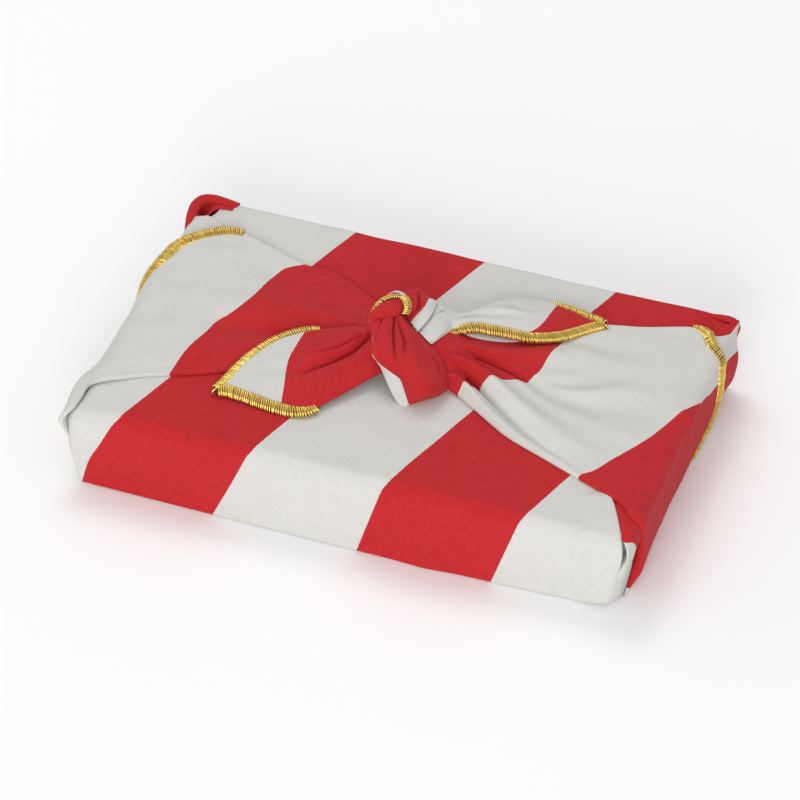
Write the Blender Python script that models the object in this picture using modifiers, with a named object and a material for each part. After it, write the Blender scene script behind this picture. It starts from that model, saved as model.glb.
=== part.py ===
"""Furoshiki wrap: a square cotton cloth folded round a flat box-shaped parcel.

The front and back of the cloth lie flat against the parcel. Its left and right corners are drawn
up the short sides, over the top, and tied in one square knot with two pointed tails. A raised
edging of thread runs along the cloth's edge wherever that edge shows.

Units: the sizes below are millimetres, and the meshes are built in metres. +Z is up, +X runs along
the long side, -Y is the front, and the origin is the middle of the underside.
"""

import math
from collections import namedtuple

import bmesh
import bpy
from mathutils import Vector

MM = 0.001

# The parcel.
LENGTH = 240.0
DEPTH = 148.8
HEIGHT = 37.0
EDGE_RADIUS = 4.0  # the cloth's bend round the parcel's edges
FOOT_INSET = {-1: 4.0, 1: 1.5}  # how far each short side draws in at its foot
EAR_RUN = 20.0  # how far from a corner its folded ear dies away
CROWN = 0.7  # how far the middle of the top stands up
CROWN_HALF_WIDTH = 40.0

# The cloth.
LAYER = 1.6  # height of a folded layer over the one below it
LOWEST_TROUGH = -0.4  # the lowest that a trough in a flap goes, from that height
FLAP_EDGE = 0.55  # a flap's height at its very edge, against its height just inside
SUNK = 2.0  # how far a flap reaches into the body that it lies on
SHEET = 1.8  # thickness of a tail
FULLNESS = 0.7  # the power that makes an arch fuller than a sine wave
UNDERCUT = 0.18  # how far in the underside of a filled strand starts, as a share of its width

# The raised edging and its seat in the cloth.
EDGING_WIDTH = 4.0
EDGING_HEIGHT = 2.2
EDGING_TAPER = 0.55  # an edging's end, where it turns under, against its full width
EDGING_SIDES = 8
SEAT_TAPER = 0.7  # the same for the end of its seat
FLAP_EDGING_LIFT = 1.35  # the edging's middle over the layer that it lies on
TAIL_EDGING_DROP = 0.7  # the edging's middle under the top of a tail
CLEARANCE = 0.35
SHARPEST_MITRE = 2.4

# A folded corner of the body: which corner it is (the signs of its X and Y), and how far the
# cloth's folds there stand out along X and along Y.
Ear = namedtuple("Ear", "side_x side_y out_x out_y")

EARS = [
    Ear(-1, -1, 0.5, 4.5),
    Ear(-1, 1, 1.0, 1.2),
    Ear(1, 1, 2.5, 0.8),
    Ear(1, -1, 0.0, 0.6),
]

# One section across a flap, from the foot of its short side up and over to the knot: where its
# front and back edges lie, as the distance in over the parcel's top edge (negative is down the
# side) and the place along Y; then how high it stands at its front, in its middle and at its back.
FlapRow = namedtuple("FlapRow", "front_in front_y back_in back_y front mid back")

LEFT_FLAP = [
    FlapRow(-35, -62, -35, -20, 0.0, 0.2, 0.0),
    FlapRow(-26, -67, -26, -14, 0.0, 0.8, 0.0),
    FlapRow(-16, -71, -16, -5, 0.0, 1.0, 0.0),
    FlapRow(-8, -73, -8, 5, 0.0, 0.6, 0.0),
    FlapRow(-3, -75, -3, 16, 0.2, 0.2, 0.0),
    FlapRow(1, -73, 0, 28, 0.4, 0.0, 0.0),
    FlapRow(3, -66, 2, 37, 0.8, 0.3, 0.0),
    FlapRow(5, -57, 6, 46, 0.8, 0.8, 0.0),
    FlapRow(16, -48, 13, 53, 0.6, 1.0, 0.0),
    FlapRow(31, -41, 22, 58, 0.4, 1.2, 0.2),
    FlapRow(40, -37, 31, 56, 0.2, 1.4, 0.4),
    FlapRow(50, -32, 57, 45, 0.2, 1.6, 0.4),
    FlapRow(62, -27, 67, 45, 0.6, 1.4, 0.6),
    FlapRow(75, -21, 79, 40, 1.2, 2.0, 1.0),
    FlapRow(88, -15, 92, 32, 2.4, 3.4, 1.8),
    FlapRow(100, -10, 102, 26, 3.6, 6.0, 3.0),
    FlapRow(110, -7, 110, 22, 4.6, 8.0, 4.0),
]
LEFT_EDGED_ROWS = (0, 9)

RIGHT_FLAP = [
    FlapRow(-35, -64, -35, 34, 0.0, 0.2, 0.0),
    FlapRow(-28, -60, -30, 49, 0.0, 0.6, 0.0),
    FlapRow(-20, -55, -20, 54.5, 0.2, 1.0, 0.0),
    FlapRow(-10, -56, -10.5, 54.5, 0.4, 0.6, 0.0),
    FlapRow(-3, -60, -3, 53.5, 0.6, 0.2, 0.0),
    FlapRow(2, -60, 1.5, 53.8, 0.8, 0.0, 0.0),
    FlapRow(6, -55, 5, 56.5, 0.8, 0.2, 0.0),
    FlapRow(15, -50, 9.5, 60, 0.6, 0.6, 0.0),
    FlapRow(30, -44, 16, 62, 0.4, 1.2, 0.2),
    FlapRow(45, -38, 33, 55, 0.6, 1.6, 0.4),
    FlapRow(63, -31, 51, 50, 1.2, 2.0, 0.6),
    FlapRow(72, -26, 62, 44, 1.8, 2.6, 0.8),
    FlapRow(82, -19.5, 75, 37, 2.2, 3.6, 1.2),
    FlapRow(90, -14.5, 88, 28, 2.8, 5.0, 2.2),
    FlapRow(98, -11, 100, 22, 3.6, 6.0, 3.4),
    FlapRow(107, -9, 110, 18, 4.0, 6.4, 4.0),
]
RIGHT_EDGED_ROWS = (0, 8)

# Where the points of a section lie across a flap, and across a strand or tail: closer together
# where the creases are.
FLAP_STEPS = [0.0, 0.025, 0.06, 0.1, 0.14, 0.2, 0.27, 0.35, 0.46, 0.56, 0.64, 0.72, 0.8, 0.88, 0.975, 1.0]
DRAPE_STEPS = [0.0, 0.06, 0.14, 0.22, 0.3, 0.38, 0.46, 0.54, 0.62, 0.7, 0.78, 0.86, 0.94, 1.0]

# A crease, pleat or roll along a fold of cloth: where it lies across it (0 is the first edge, 1 the
# second), its half width in the same measure, how far it stands up (negative is a trough), and
# the first and last row between which it shows.
Crease = namedtuple("Crease", "across half rise first last")

LEFT_FLAP_CREASES = [
    Crease(0.44, 0.10, -0.9, 8, 14),
    Crease(0.70, 0.12, 0.8, 9, 16),
    Crease(0.30, 0.10, 0.8, 11, 16),
]
RIGHT_FLAP_CREASES = [
    Crease(0.06, 0.06, 2.2, 9.5, 14.5),
    Crease(0.14, 0.05, -2.0, 9, 14.5),
    Crease(0.27, 0.13, 2.0, 9, 14.5),
    Crease(0.46, 0.08, -1.4, 9, 15),
    Crease(0.72, 0.08, -1.0, 10, 15),
]

# One section across a strand or a tail: the places of its first and second edges, how far its
# middle stands above the line between them, and how far it reaches below that line.
DrapeRow = namedtuple("DrapeRow", "ax ay az bx by bz arch below")

KNOT_CORE = [
    DrapeRow(-25, -2, 40, -26, 25, 40, 3, 4),
    DrapeRow(-14, -8, 41, -14, 24, 43, 6, 6),
    DrapeRow(-4, -11, 41, -5, 25, 44, 8, 6),
    DrapeRow(6, -13, 41, 6, 25, 44, 8, 6),
    DrapeRow(16, -12, 40, 15, 25, 42, 6, 5),
    DrapeRow(28, -11, 39.5, 27, 20, 40, 3, 4),
]
KNOT_FRONT_WRAP = [
    DrapeRow(-15, 20, 45, -8, 23, 46, 0.6, 3),
    DrapeRow(-16.5, 17, 51, -9, 20.5, 52, 1.4, 3),
    DrapeRow(-17, 10, 54.5, -5.5, 14, 55.5, 2.2, 4),
    DrapeRow(-16.2, 4, 54.3, -2.5, 8.5, 55, 2.8, 5),
    DrapeRow(-15, -1.5, 52.8, 2, 5.5, 53.2, 3.4, 6),
    DrapeRow(-12.5, -8, 50.5, 9, 1, 51, 4.2, 6),
    DrapeRow(-9.5, -13.6, 48, 15.5, -3.5, 48.8, 4.8, 6),
    DrapeRow(-4.4, -18, 45, 20.5, -8, 46.2, 4.8, 5),
    DrapeRow(2.4, -22, 42, 22.8, -10.4, 43, 4.0, 3.4),
    DrapeRow(8.6, -25, 38.6, 24.4, -12.4, 39.6, 2.6, 2.2),
    DrapeRow(12, -23.4, 36, 23.6, -13, 36, 1.4, 1.2),
]
FRONT_WRAP_CREASES = [
    Crease(0.18, 0.12, -1.0, 2, 6),
    Crease(0.50, 0.07, -2.0, 2.5, 9),
    Crease(0.63, 0.07, -1.2, 2.5, 6.5),
    Crease(0.90, 0.07, -1.2, 4, 9),
]
RIGHT_TAIL_BIGHT = [
    DrapeRow(-8, 8, 50, -10, 24, 47, 2.0, 6),
    DrapeRow(-2, 6, 52, -8.5, 29.5, 47, 3.4, 7),
    DrapeRow(2.4, 5.5, 51.5, -3.5, 31, 46, 3.8, 7),
    DrapeRow(6, 4, 50.5, 3.5, 30.5, 45, 3.4, 6),
    DrapeRow(10, 3.5, 49, 10, 29.5, 44, 2.4, 5),
    DrapeRow(14, 8, 46.5, 15.5, 29, 43.5, 1.6, 3),
    DrapeRow(20, 16, 44, 20, 30, 43, 0.6, 2),
]
BIGHT_CREASES = [
    Crease(0.45, 0.30, 1.0, 0, 2.5),
    Crease(0.40, 0.16, -1.6, 1, 3.2),
    Crease(0.50, 0.18, -1.3, 2.6, 4.8),
]
LEFT_TAIL = [
    DrapeRow(-14, 9, 47, -2, -13, 44.5, 3.0, SHEET),
    DrapeRow(-20, 7, 46.5, -7.5, -18, 43, 3.4, SHEET),
    DrapeRow(-27.6, 5.9, 45, -14.9, -28, 41.2, 3.8, SHEET),
    DrapeRow(-38.7, 1.3, 43.6, -24.2, -42, 40.4, 3.4, SHEET),
    DrapeRow(-45.8, -1.6, 42.5, -29, -46, 40.2, 2.6, SHEET),
    DrapeRow(-54.2, -9.1, 41.5, -36, -47.2, 40.1, 1.8, SHEET),
    DrapeRow(-60.4, -21, 41, -45, -46.4, 40.1, 1.1, SHEET),
    DrapeRow(-63.4, -31, 40.6, -54, -45, 40.1, 0.6, SHEET),
    DrapeRow(-65.0, -39, 40.4, -61, -44, 40.1, 0.2, SHEET),
]
LEFT_TAIL_TIP = (-66.6, -45.0, 40.2)
LEFT_TAIL_CREASES = [
    Crease(0.36, 0.20, -3.0, 0, 4.6),
    Crease(0.72, 0.20, 0.8, 0, 4),
]
LEFT_TAIL_EDGED_FROM = 3

RIGHT_TAIL = [
    DrapeRow(8, 12, 48, 9, 25, 47, 1.6, SHEET),
    DrapeRow(14, 15.1, 47.3, 16, 29.5, 46, 2.0, SHEET),
    DrapeRow(22.3, 20.6, 47.6, 20, 37, 44.6, 2.2, SHEET),
    DrapeRow(30, 22, 47.2, 25.5, 46.2, 43, 2.6, SHEET),
    DrapeRow(38, 23.5, 46.4, 32.9, 51.4, 42, 2.8, SHEET),
    DrapeRow(46.3, 25.6, 45, 40, 53.2, 41.5, 2.4, SHEET),
    DrapeRow(55.4, 31.8, 43.2, 47, 53.0, 41.3, 1.6, SHEET),
    DrapeRow(61.5, 38.6, 42, 56, 51.6, 41.1, 0.8, SHEET),
    DrapeRow(66, 44, 41.3, 63.4, 50.0, 41.1, 0.3, SHEET),
]
RIGHT_TAIL_TIP = (70.6, 48.4, 41.1)
RIGHT_TAIL_CREASES = [
    Crease(0.42, 0.20, -0.9, 1, 4.5),
    Crease(0.62, 0.20, 0.8, 2, 6),
]
RIGHT_TAIL_FRONT_EDGED_FROM = 1
RIGHT_TAIL_BACK_EDGED_FROM = 6

# The cloth of the right tail that folds back under its front edge.
RIGHT_TAIL_UNDER = [
    DrapeRow(16, 15, 44, 20, 27, 44, 0.6, 3.0),
    DrapeRow(24, 15.6, 43.4, 26, 30, 43, 0.8, 3.0),
    DrapeRow(34, 17, 42.8, 34, 32, 42.5, 0.8, 3.0),
    DrapeRow(44, 20.6, 42.2, 42, 33, 42, 0.6, 3.0),
    DrapeRow(51, 27, 41, 47, 36, 41, 0.2, 2.6),
]

# The rolled rim of the pocket at the back left corner, and the tuck that runs down the front
# right corner.
BACK_LEFT_RIM = [
    DrapeRow(-117.6, 56, 30, -114, 57, 34.6, 0.4, 3),
    DrapeRow(-119.6, 62, 31, -116.4, 62, 36.2, 1.0, 3),
    DrapeRow(-119.8, 68, 31.4, -116.6, 66.4, 37.2, 1.4, 3),
    DrapeRow(-117.2, 72.4, 31.4, -114.2, 69.2, 37.6, 1.6, 3),
    DrapeRow(-111.6, 73.8, 31.2, -109.6, 70.4, 37.4, 1.2, 3),
    DrapeRow(-103, 72.8, 31, -103, 70.2, 35.8, 0.4, 3),
]
FRONT_RIGHT_TUCK = [
    DrapeRow(113.0, -72.4, 3, 117.0, -65, 3, 0.3, 3),
    DrapeRow(114.6, -73.6, 10, 118.6, -64, 10, 1.2, 3),
    DrapeRow(115.4, -73.8, 19, 119.4, -62, 19, 1.6, 3),
    DrapeRow(114.6, -73.2, 28, 119.0, -60, 28, 1.2, 3),
    DrapeRow(111.5, -71.6, 34.6, 116.6, -58, 34.6, 0.3, 3),
]

# The edging where it loops over the top of the knot: its middle line and which way its face looks.
EdgingPoint = namedtuple("EdgingPoint", "x y z face_x face_y face_z")

KNOT_EDGING = [
    EdgingPoint(-17.0, 3.0, 54.4, -0.8, -0.3, 0.6),
    EdgingPoint(-16.8, 7.0, 56.4, -0.7, 0.0, 0.8),
    EdgingPoint(-15.4, 10.8, 57.6, -0.5, 0.3, 0.9),
    EdgingPoint(-13.0, 14.0, 57.8, -0.2, 0.5, 0.9),
    EdgingPoint(-10.0, 15.4, 58.0, 0.1, 0.5, 0.9),
    EdgingPoint(-6.8, 14.4, 57.8, 0.4, 0.3, 0.9),
    EdgingPoint(-4.4, 11.6, 57.4, 0.6, 0.1, 0.8),
    EdgingPoint(-3.0, 8.4, 56.8, 0.6, -0.2, 0.8),
]


def clear_scene():
    for obj in list(bpy.data.objects):
        bpy.data.objects.remove(obj)


def new_collection(name):
    collection = bpy.data.collections.new(name)
    bpy.context.scene.collection.children.link(collection)
    return collection


def plain_material(name, colour, roughness, metallic):
    material = bpy.data.materials.new(name)
    material.use_nodes = True
    shader = material.node_tree.nodes["Principled BSDF"]
    shader.inputs["Base Color"].default_value = (*colour, 1.0)
    shader.inputs["Roughness"].default_value = roughness
    shader.inputs["Metallic"].default_value = metallic
    return material


def blend(low, high, share):
    return low + (high - low) * share


def bump(distance, half):
    """One at no distance, falling smoothly to nothing at the half width."""
    if abs(distance) >= half:
        return 0.0
    return 0.5 + 0.5 * math.cos(math.pi * distance / half)


def between_rows(rows, steps):
    """The rows with smooth ones between them, each with its row number."""
    kind = type(rows[0])
    last = len(rows) - 1
    found = []
    for i in range(last):
        before, low, high, after = (rows[min(max(i + k, 0), last)] for k in (-1, 0, 1, 2))
        for step in range(steps):
            t = step / steps
            values = [
                q + 0.5 * t * (r - p + t * (2 * p - 5 * q + 4 * r - s + t * (3 * (q - r) + s - p)))
                for p, q, r, s in zip(before, low, high, after)
            ]
            found.append((i + t, kind(*values)))
    found.append((last, rows[last]))
    return found


def crease_height(creases, across, row_number):
    height = 0.0
    for crease in creases:
        run = (row_number - crease.first) / (crease.last - crease.first)
        if 0 < run < 1:
            along = math.sin(math.pi * run) ** FULLNESS
            height += crease.rise * along * bump(across - crease.across, crease.half)
    return height


def loft(name, rings, collection):
    """A closed body through rings of points, with a face over each end."""
    mesh = bmesh.new()
    loops = [[mesh.verts.new(Vector(point) * MM) for point in ring] for ring in rings]
    count = len(loops[0])
    for lower, upper in zip(loops, loops[1:]):
        for i in range(count):
            j = (i + 1) % count
            mesh.faces.new((lower[i], lower[j], upper[j], upper[i]))
    mesh.faces.new(loops[0])
    mesh.faces.new(loops[-1])
    bmesh.ops.triangulate(mesh, faces=mesh.faces)
    bmesh.ops.recalc_face_normals(mesh, faces=mesh.faces)
    data = bpy.data.meshes.new(name)
    mesh.to_mesh(data)
    mesh.free()
    obj = bpy.data.objects.new(name, data)
    collection.objects.link(obj)
    return obj


def over_edge(side, inward, y, height):
    """A point over the parcel's short side or top, with inward measured round the bent top edge."""
    bend = math.pi / 4 * EDGE_RADIUS
    if inward < -bend:
        z = HEIGHT - EDGE_RADIUS + inward + bend
        x = LENGTH / 2 - FOOT_INSET[side] * (1 - z / HEIGHT) + height
    elif inward > bend:
        x = LENGTH / 2 - EDGE_RADIUS - (inward - bend)
        z = HEIGHT + height
    else:
        angle = inward / EDGE_RADIUS + math.pi / 4
        x = LENGTH / 2 - EDGE_RADIUS + (EDGE_RADIUS + height) * math.cos(angle)
        z = HEIGHT - EDGE_RADIUS + (EDGE_RADIUS + height) * math.sin(angle)
    return Vector((side * x, y, z))


def parcel_body(collection):
    """The cloth lying flat round the parcel: a box with bent edges, folded ears and a low crown."""
    mesh = bmesh.new()
    bmesh.ops.create_cube(mesh, size=1.0)
    bmesh.ops.scale(mesh, vec=(LENGTH, DEPTH, HEIGHT), verts=mesh.verts)
    bmesh.ops.translate(mesh, vec=(0, 0, HEIGHT / 2), verts=mesh.verts)
    cuts = []
    for sign in (-1, 1):
        cuts.append(((sign * (LENGTH / 2 - EAR_RUN), 0, 0), (1, 0, 0)))
        cuts.append(((sign * CROWN_HALF_WIDTH, 0, 0), (1, 0, 0)))
        cuts.append(((0, sign * (DEPTH / 2 - EAR_RUN), 0), (0, 1, 0)))
    for place, normal in cuts:
        parts = mesh.verts[:] + mesh.edges[:] + mesh.faces[:]
        bmesh.ops.bisect_plane(mesh, geom=parts, plane_co=place, plane_no=normal)
    for vert in mesh.verts:
        side_x = math.copysign(1, vert.co.x)
        side_y = math.copysign(1, vert.co.y)
        at_end = abs(vert.co.x) > LENGTH / 2 - 1
        at_front_or_back = abs(vert.co.y) > DEPTH / 2 - 1
        if vert.co.z < 1:
            if at_end:
                vert.co.x -= side_x * FOOT_INSET[side_x]
        elif at_end and at_front_or_back:
            ear = next(ear for ear in EARS if (ear.side_x, ear.side_y) == (side_x, side_y))
            vert.co.x += side_x * ear.out_x
            vert.co.y += side_y * ear.out_y
        elif not at_front_or_back and abs(vert.co.x) < CROWN_HALF_WIDTH + 1:
            vert.co.z += CROWN
    bmesh.ops.scale(mesh, vec=(MM, MM, MM), verts=mesh.verts)
    data = bpy.data.meshes.new("cloth")
    mesh.to_mesh(data)
    mesh.free()
    obj = bpy.data.objects.new("cloth", data)
    collection.objects.link(obj)
    bend = obj.modifiers.new("Bent edges", "BEVEL")
    bend.width = EDGE_RADIUS * MM
    bend.segments = 4
    bend.limit_method = "ANGLE"
    bend.angle_limit = math.radians(50)
    obj.modifiers.new("Flat faces", "TRIANGULATE")
    return obj


def flap_height(row, across, row_number, creases):
    """The top of a flap above the layer below it."""
    at_edge = row.front if across < 0.5 else row.back
    height = blend(at_edge, row.mid, math.sin(math.pi * across))
    height += crease_height(creases, across, row_number)
    return LAYER + max(height, LOWEST_TROUGH)


def flap(name, side, rows, creases, collection):
    """A flap as one sheet with its edges rounded off, sunk a little into the parcel's body."""
    rings = []
    for row_number, row in between_rows(rows, 2):
        ring = []
        for across in FLAP_STEPS:
            inward = blend(row.front_in, row.back_in, across)
            height = flap_height(row, across, row_number, creases)
            if across in (0.0, 1.0):
                height *= FLAP_EDGE
            ring.append(over_edge(side, inward, blend(row.front_y, row.back_y, across), height))
        for across in reversed(FLAP_STEPS[::3]):
            inward = blend(row.front_in, row.back_in, across)
            ring.append(over_edge(side, inward, blend(row.front_y, row.back_y, across), -SUNK))
        rings.append(ring)
    return loft(name, rings, collection)


def drape(name, rows, creases, collection, filled):
    """A strand or tail. A filled one is flat beneath, and the other is a sheet of even thickness."""
    resampled = between_rows(rows, 2)
    firsts = [Vector((row.ax, row.ay, row.az)) for _, row in resampled]
    seconds = [Vector((row.bx, row.by, row.bz)) for _, row in resampled]
    rings = []
    for i, (row_number, row) in enumerate(resampled):
        low, high = max(i - 1, 0), min(i + 1, len(resampled) - 1)
        run = firsts[high] + seconds[high] - firsts[low] - seconds[low]
        out = run.cross(seconds[i] - firsts[i]).normalized()
        top = []
        under = []
        for across in DRAPE_STEPS:
            line = firsts[i].lerp(seconds[i], across)
            rise = row.arch * max(math.sin(math.pi * across), 0.0) ** FULLNESS
            rise += crease_height(creases, across, row_number)
            top.append(line + out * rise)
            if filled:
                line = firsts[i].lerp(seconds[i], blend(across, 0.5, UNDERCUT))
            under.append(line + out * ((0.0 if filled else rise) - row.below))
        rings.append(top + under[::-1])
    return loft(name, rings, collection)


def edging_rings(points, faces, width, height, end_taper):
    """Flattened round sections along an edging, mitred where it turns."""
    rings = []
    last = len(points) - 1
    for i, point in enumerate(points):
        back = (point - points[max(i - 1, 0)]).normalized() if i else (points[1] - point).normalized()
        ahead = (points[min(i + 1, last)] - point).normalized() if i < last else back
        run = (back + ahead).normalized()
        mitre = min(1 / max(run.dot(ahead), 0.01), SHARPEST_MITRE)
        wide = run.cross(faces[i]).normalized()
        up = wide.cross(run)
        taper = end_taper if i in (0, last) else 1.0
        ring = []
        for k in range(EDGING_SIDES):
            angle = 2 * math.pi * (k + 0.5) / EDGING_SIDES
            across = wide * (width / 2 * mitre * taper * math.cos(angle))
            ring.append(point + across + up * (height / 2 * taper * math.sin(angle)))
        rings.append(ring)
    return rings


def flap_edging_line(side, rows, edged_rows):
    """The middle line of a flap's edging, half its width in from the flap's back edge."""
    first, last = edged_rows
    flat = [(row.back_in, row.back_y) for number, row in between_rows(rows, 3) if first <= number <= last]
    points = []
    faces = []
    for i, (inward, y) in enumerate(flat):
        low, high = flat[max(i - 1, 0)], flat[min(i + 1, len(flat) - 1)]
        run = Vector((high[0] - low[0], high[1] - low[1])).normalized()
        inside = Vector((run.y, -run.x)) * EDGING_WIDTH / 2
        place = (inward + inside.x, y + inside.y)
        points.append(over_edge(side, *place, FLAP_EDGING_LIFT))
        faces.append(over_edge(side, *place, 2 * FLAP_EDGING_LIFT) - points[-1])
    return points, faces


def tail_edging_line(rows, tip, first_from, second_from):
    """The middle line of a tail's edging: along its first edge to the tip and back."""
    resampled = between_rows(rows, 2)
    out = [Vector((row.ax, row.ay, row.az)) for number, row in resampled if number >= first_from]
    back = [Vector((row.bx, row.by, row.bz)) for number, row in resampled if number >= second_from]
    points = [point - Vector((0, 0, TAIL_EDGING_DROP)) for point in out + [Vector(tip)] + back[::-1]]
    return points, [Vector((0, 0, 1))] * len(points)


def edging(name, points, faces, material, wrap, guides):
    """A stretch of edging, and the seat that it is let into in the cloth."""
    thread = loft(name, edging_rings(points, faces, EDGING_WIDTH, EDGING_HEIGHT, EDGING_TAPER), wrap)
    thread.data.materials.append(material)
    longer = [points[0] + (points[0] - points[1]).normalized() * CLEARANCE]
    longer += points[1:-1]
    longer += [points[-1] + (points[-1] - points[-2]).normalized() * CLEARANCE]
    width = EDGING_WIDTH + 2 * CLEARANCE
    height = EDGING_HEIGHT + 2 * CLEARANCE
    return loft(name + "_seat", edging_rings(longer, faces, width, height, SEAT_TAPER), guides)


def combine(body, others, operation):
    for other in others:
        other.hide_render = True
        other.display_type = "WIRE"
        step = body.modifiers.new(other.name, "BOOLEAN")
        step.operation = operation
        step.object = other
        step.solver = "EXACT"


def build():
    clear_scene()
    wrap = new_collection("furoshiki_wrap")
    guides = new_collection("cloth_folds")
    cotton = plain_material("striped cotton", (0.56, 0.04, 0.04), 0.9, 0.0)
    thread = plain_material("gold thread", (0.72, 0.48, 0.09), 0.35, 0.8)

    cloth = parcel_body(wrap)
    cloth.data.materials.append(cotton)
    folds = [
        flap("left_flap", -1, LEFT_FLAP, LEFT_FLAP_CREASES, guides),
        flap("right_flap", 1, RIGHT_FLAP, RIGHT_FLAP_CREASES, guides),
        drape("back_left_rim", BACK_LEFT_RIM, [], guides, True),
        drape("front_right_tuck", FRONT_RIGHT_TUCK, [], guides, True),
        drape("knot_core", KNOT_CORE, [], guides, True),
        drape("right_tail_bight", RIGHT_TAIL_BIGHT, BIGHT_CREASES, guides, True),
        drape("front_wrap", KNOT_FRONT_WRAP, FRONT_WRAP_CREASES, guides, True),
        drape("left_tail", LEFT_TAIL, LEFT_TAIL_CREASES, guides, False),
        drape("right_tail", RIGHT_TAIL, RIGHT_TAIL_CREASES, guides, False),
        drape("right_tail_under", RIGHT_TAIL_UNDER, [], guides, True),
    ]
    combine(cloth, folds, "UNION")

    lines = {
        "edging_left_flap": flap_edging_line(-1, LEFT_FLAP, LEFT_EDGED_ROWS),
        "edging_right_flap": flap_edging_line(1, RIGHT_FLAP, RIGHT_EDGED_ROWS),
        "edging_left_tail": tail_edging_line(
            LEFT_TAIL, LEFT_TAIL_TIP, LEFT_TAIL_EDGED_FROM, LEFT_TAIL_EDGED_FROM
        ),
        "edging_right_tail": tail_edging_line(
            RIGHT_TAIL, RIGHT_TAIL_TIP, RIGHT_TAIL_FRONT_EDGED_FROM, RIGHT_TAIL_BACK_EDGED_FROM
        ),
        "edging_knot": (
            [Vector(point[:3]) for point in KNOT_EDGING],
            [Vector(point[3:]) for point in KNOT_EDGING],
        ),
    }
    seats = [edging(name, points, faces, thread, wrap, guides) for name, (points, faces) in lines.items()]
    combine(cloth, seats, "DIFFERENCE")


build()
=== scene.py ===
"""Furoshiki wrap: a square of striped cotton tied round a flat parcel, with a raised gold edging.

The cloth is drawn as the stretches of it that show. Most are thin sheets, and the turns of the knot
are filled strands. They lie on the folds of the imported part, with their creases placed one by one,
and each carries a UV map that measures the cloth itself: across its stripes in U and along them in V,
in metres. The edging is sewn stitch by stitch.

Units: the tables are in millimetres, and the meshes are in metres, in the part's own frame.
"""

import math
from collections import namedtuple

import bmesh
import bpy
import numpy as np
from mathutils import Matrix, Vector


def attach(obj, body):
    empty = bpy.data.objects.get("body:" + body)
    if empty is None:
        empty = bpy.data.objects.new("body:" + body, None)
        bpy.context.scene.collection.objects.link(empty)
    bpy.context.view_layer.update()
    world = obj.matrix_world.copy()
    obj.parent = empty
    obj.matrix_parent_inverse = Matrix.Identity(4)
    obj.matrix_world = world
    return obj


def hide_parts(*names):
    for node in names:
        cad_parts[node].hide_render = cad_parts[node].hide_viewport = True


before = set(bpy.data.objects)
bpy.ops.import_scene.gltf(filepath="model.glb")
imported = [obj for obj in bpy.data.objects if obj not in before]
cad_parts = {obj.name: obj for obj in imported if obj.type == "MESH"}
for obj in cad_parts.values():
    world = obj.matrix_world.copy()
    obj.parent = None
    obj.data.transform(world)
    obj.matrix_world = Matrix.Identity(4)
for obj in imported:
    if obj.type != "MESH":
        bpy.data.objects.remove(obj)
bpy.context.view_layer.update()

MM = 0.001

# The parcel.
LENGTH = 240.0
DEPTH = 148.8
HEIGHT = 37.0
EDGE_RADIUS = 4.0  # the flaps' bend over the top edge of a short side
FOOT_RADIUS = 0.9
# The bend of the base layer over the parcel's top edges, from its front to its back.
TOP_RADIUS = [(-74.4, 5.5), (-55, 4), (48, 4), (74.4, 1.7)]
# The front right corner's upright edge: its bend, and from where and over how far the bend grows,
# in X towards the right and in Y towards the front.
CORNER_RADIUS = 5.6
CORNER_FROM, CORNER_GROWS_OVER = (100, 56), (16, 14)
# How far the front face leans out at its foot, and the back face at its top, along the parcel.
FRONT_LEAN = [
    (-120, 2.4), (-70, 2.8), (20, 3), (36, 3.6), (50, 2.4), (75, 1.4), (99, 0.4), (112, 1.6),
]
BACK_LEAN = [(-120, 0.6), (-90, 1.2), (60, 1.4), (100, 2), (115, 1.4)]
FACE_DEPTH = 2  # how near the front or back face a point counts as on it
FACE_FOOT = 8  # below this height the ripples of a face die away
FOOT_INSET = {-1: 3.0, 1: 2.6}  # how far each short side draws in at its foot
INSET_RUN = 30  # how far from a short side that dies away
EAR_RUN = 20  # how far from a corner its folded ear dies away
CROWN = 0.7  # how far the middle of the top stands up
GRID_STEPS = (2.0, 2.0, 1.6)  # the base layer's grid, along X, Y and Z
EDGE_PLACES = [0, 0.25, 0.55, 0.9, 1.3, 1.8, 2.5, 3.4, 4.6, 6]  # and its finer lines by an edge

# The cloth.
LAYER = 1.6  # height of a folded layer over the one below it
THICKNESS = 0.45  # of the base layer
FOLD_THICKNESS = 0.4  # of the folds made as nets
HEM_TURN = 5.0  # how far a flap's or a tail's folded edge runs back underneath
HEM_RUN = 3.0  # the same for a net's
HEM_STEPS = 8  # round the turn of a hem
FLAP_EDGE_CALM = 5  # how far in from its edges a flap's unevenness grows to its full size
LOWEST_FLAP, LOWEST_HEM = 0.5, 0.06  # a flap's least height on its top and on its turned hem
# A flap hugs the short side at its foot: its least share of its height, how far below the parcel's
# upper edge it starts to grow, and over how far.
FOOT_HUG, FOOT_HUG_TO, FOOT_HUG_RUN = 0.3, 37, 7
FULLNESS = 0.7  # the power that makes an arch fuller than a sine wave
UNDERCUT = 0.18  # how much narrower a strand's underside is drawn towards its middle
STRAND_UNDERSIDE = (0.96, 0.04)  # before that, where it starts and ends, as shares of the width
STRAND_COLUMNS = 56
TAIL_COLUMNS = 90
TAIL_LIFT = 1.2  # height of a tail's turned edge
TIP_WIDTH = 0.3  # along X and along Y

# The stripes.
STRIPE = 55.5  # width of a stripe, square to its edges
STRIPE_SLOPE = 0.335  # how far a stripe's edge moves along X for each millimetre along Y
STRIPE_START = -74.9  # where a red stripe begins on the parcel's top, at the middle of its depth
RED_START, WHITE_START = 8, -50  # places across the stripes well inside a red and a white one
SIDE_START = -9  # the place across the stripes at the upper edge of a short side
RED_REACH = 48  # a last red stripe fades towards this place across it, and never passes it
KNOT_RED_REACH = 50  # the same for the right flap's stripe at the knot
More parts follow.
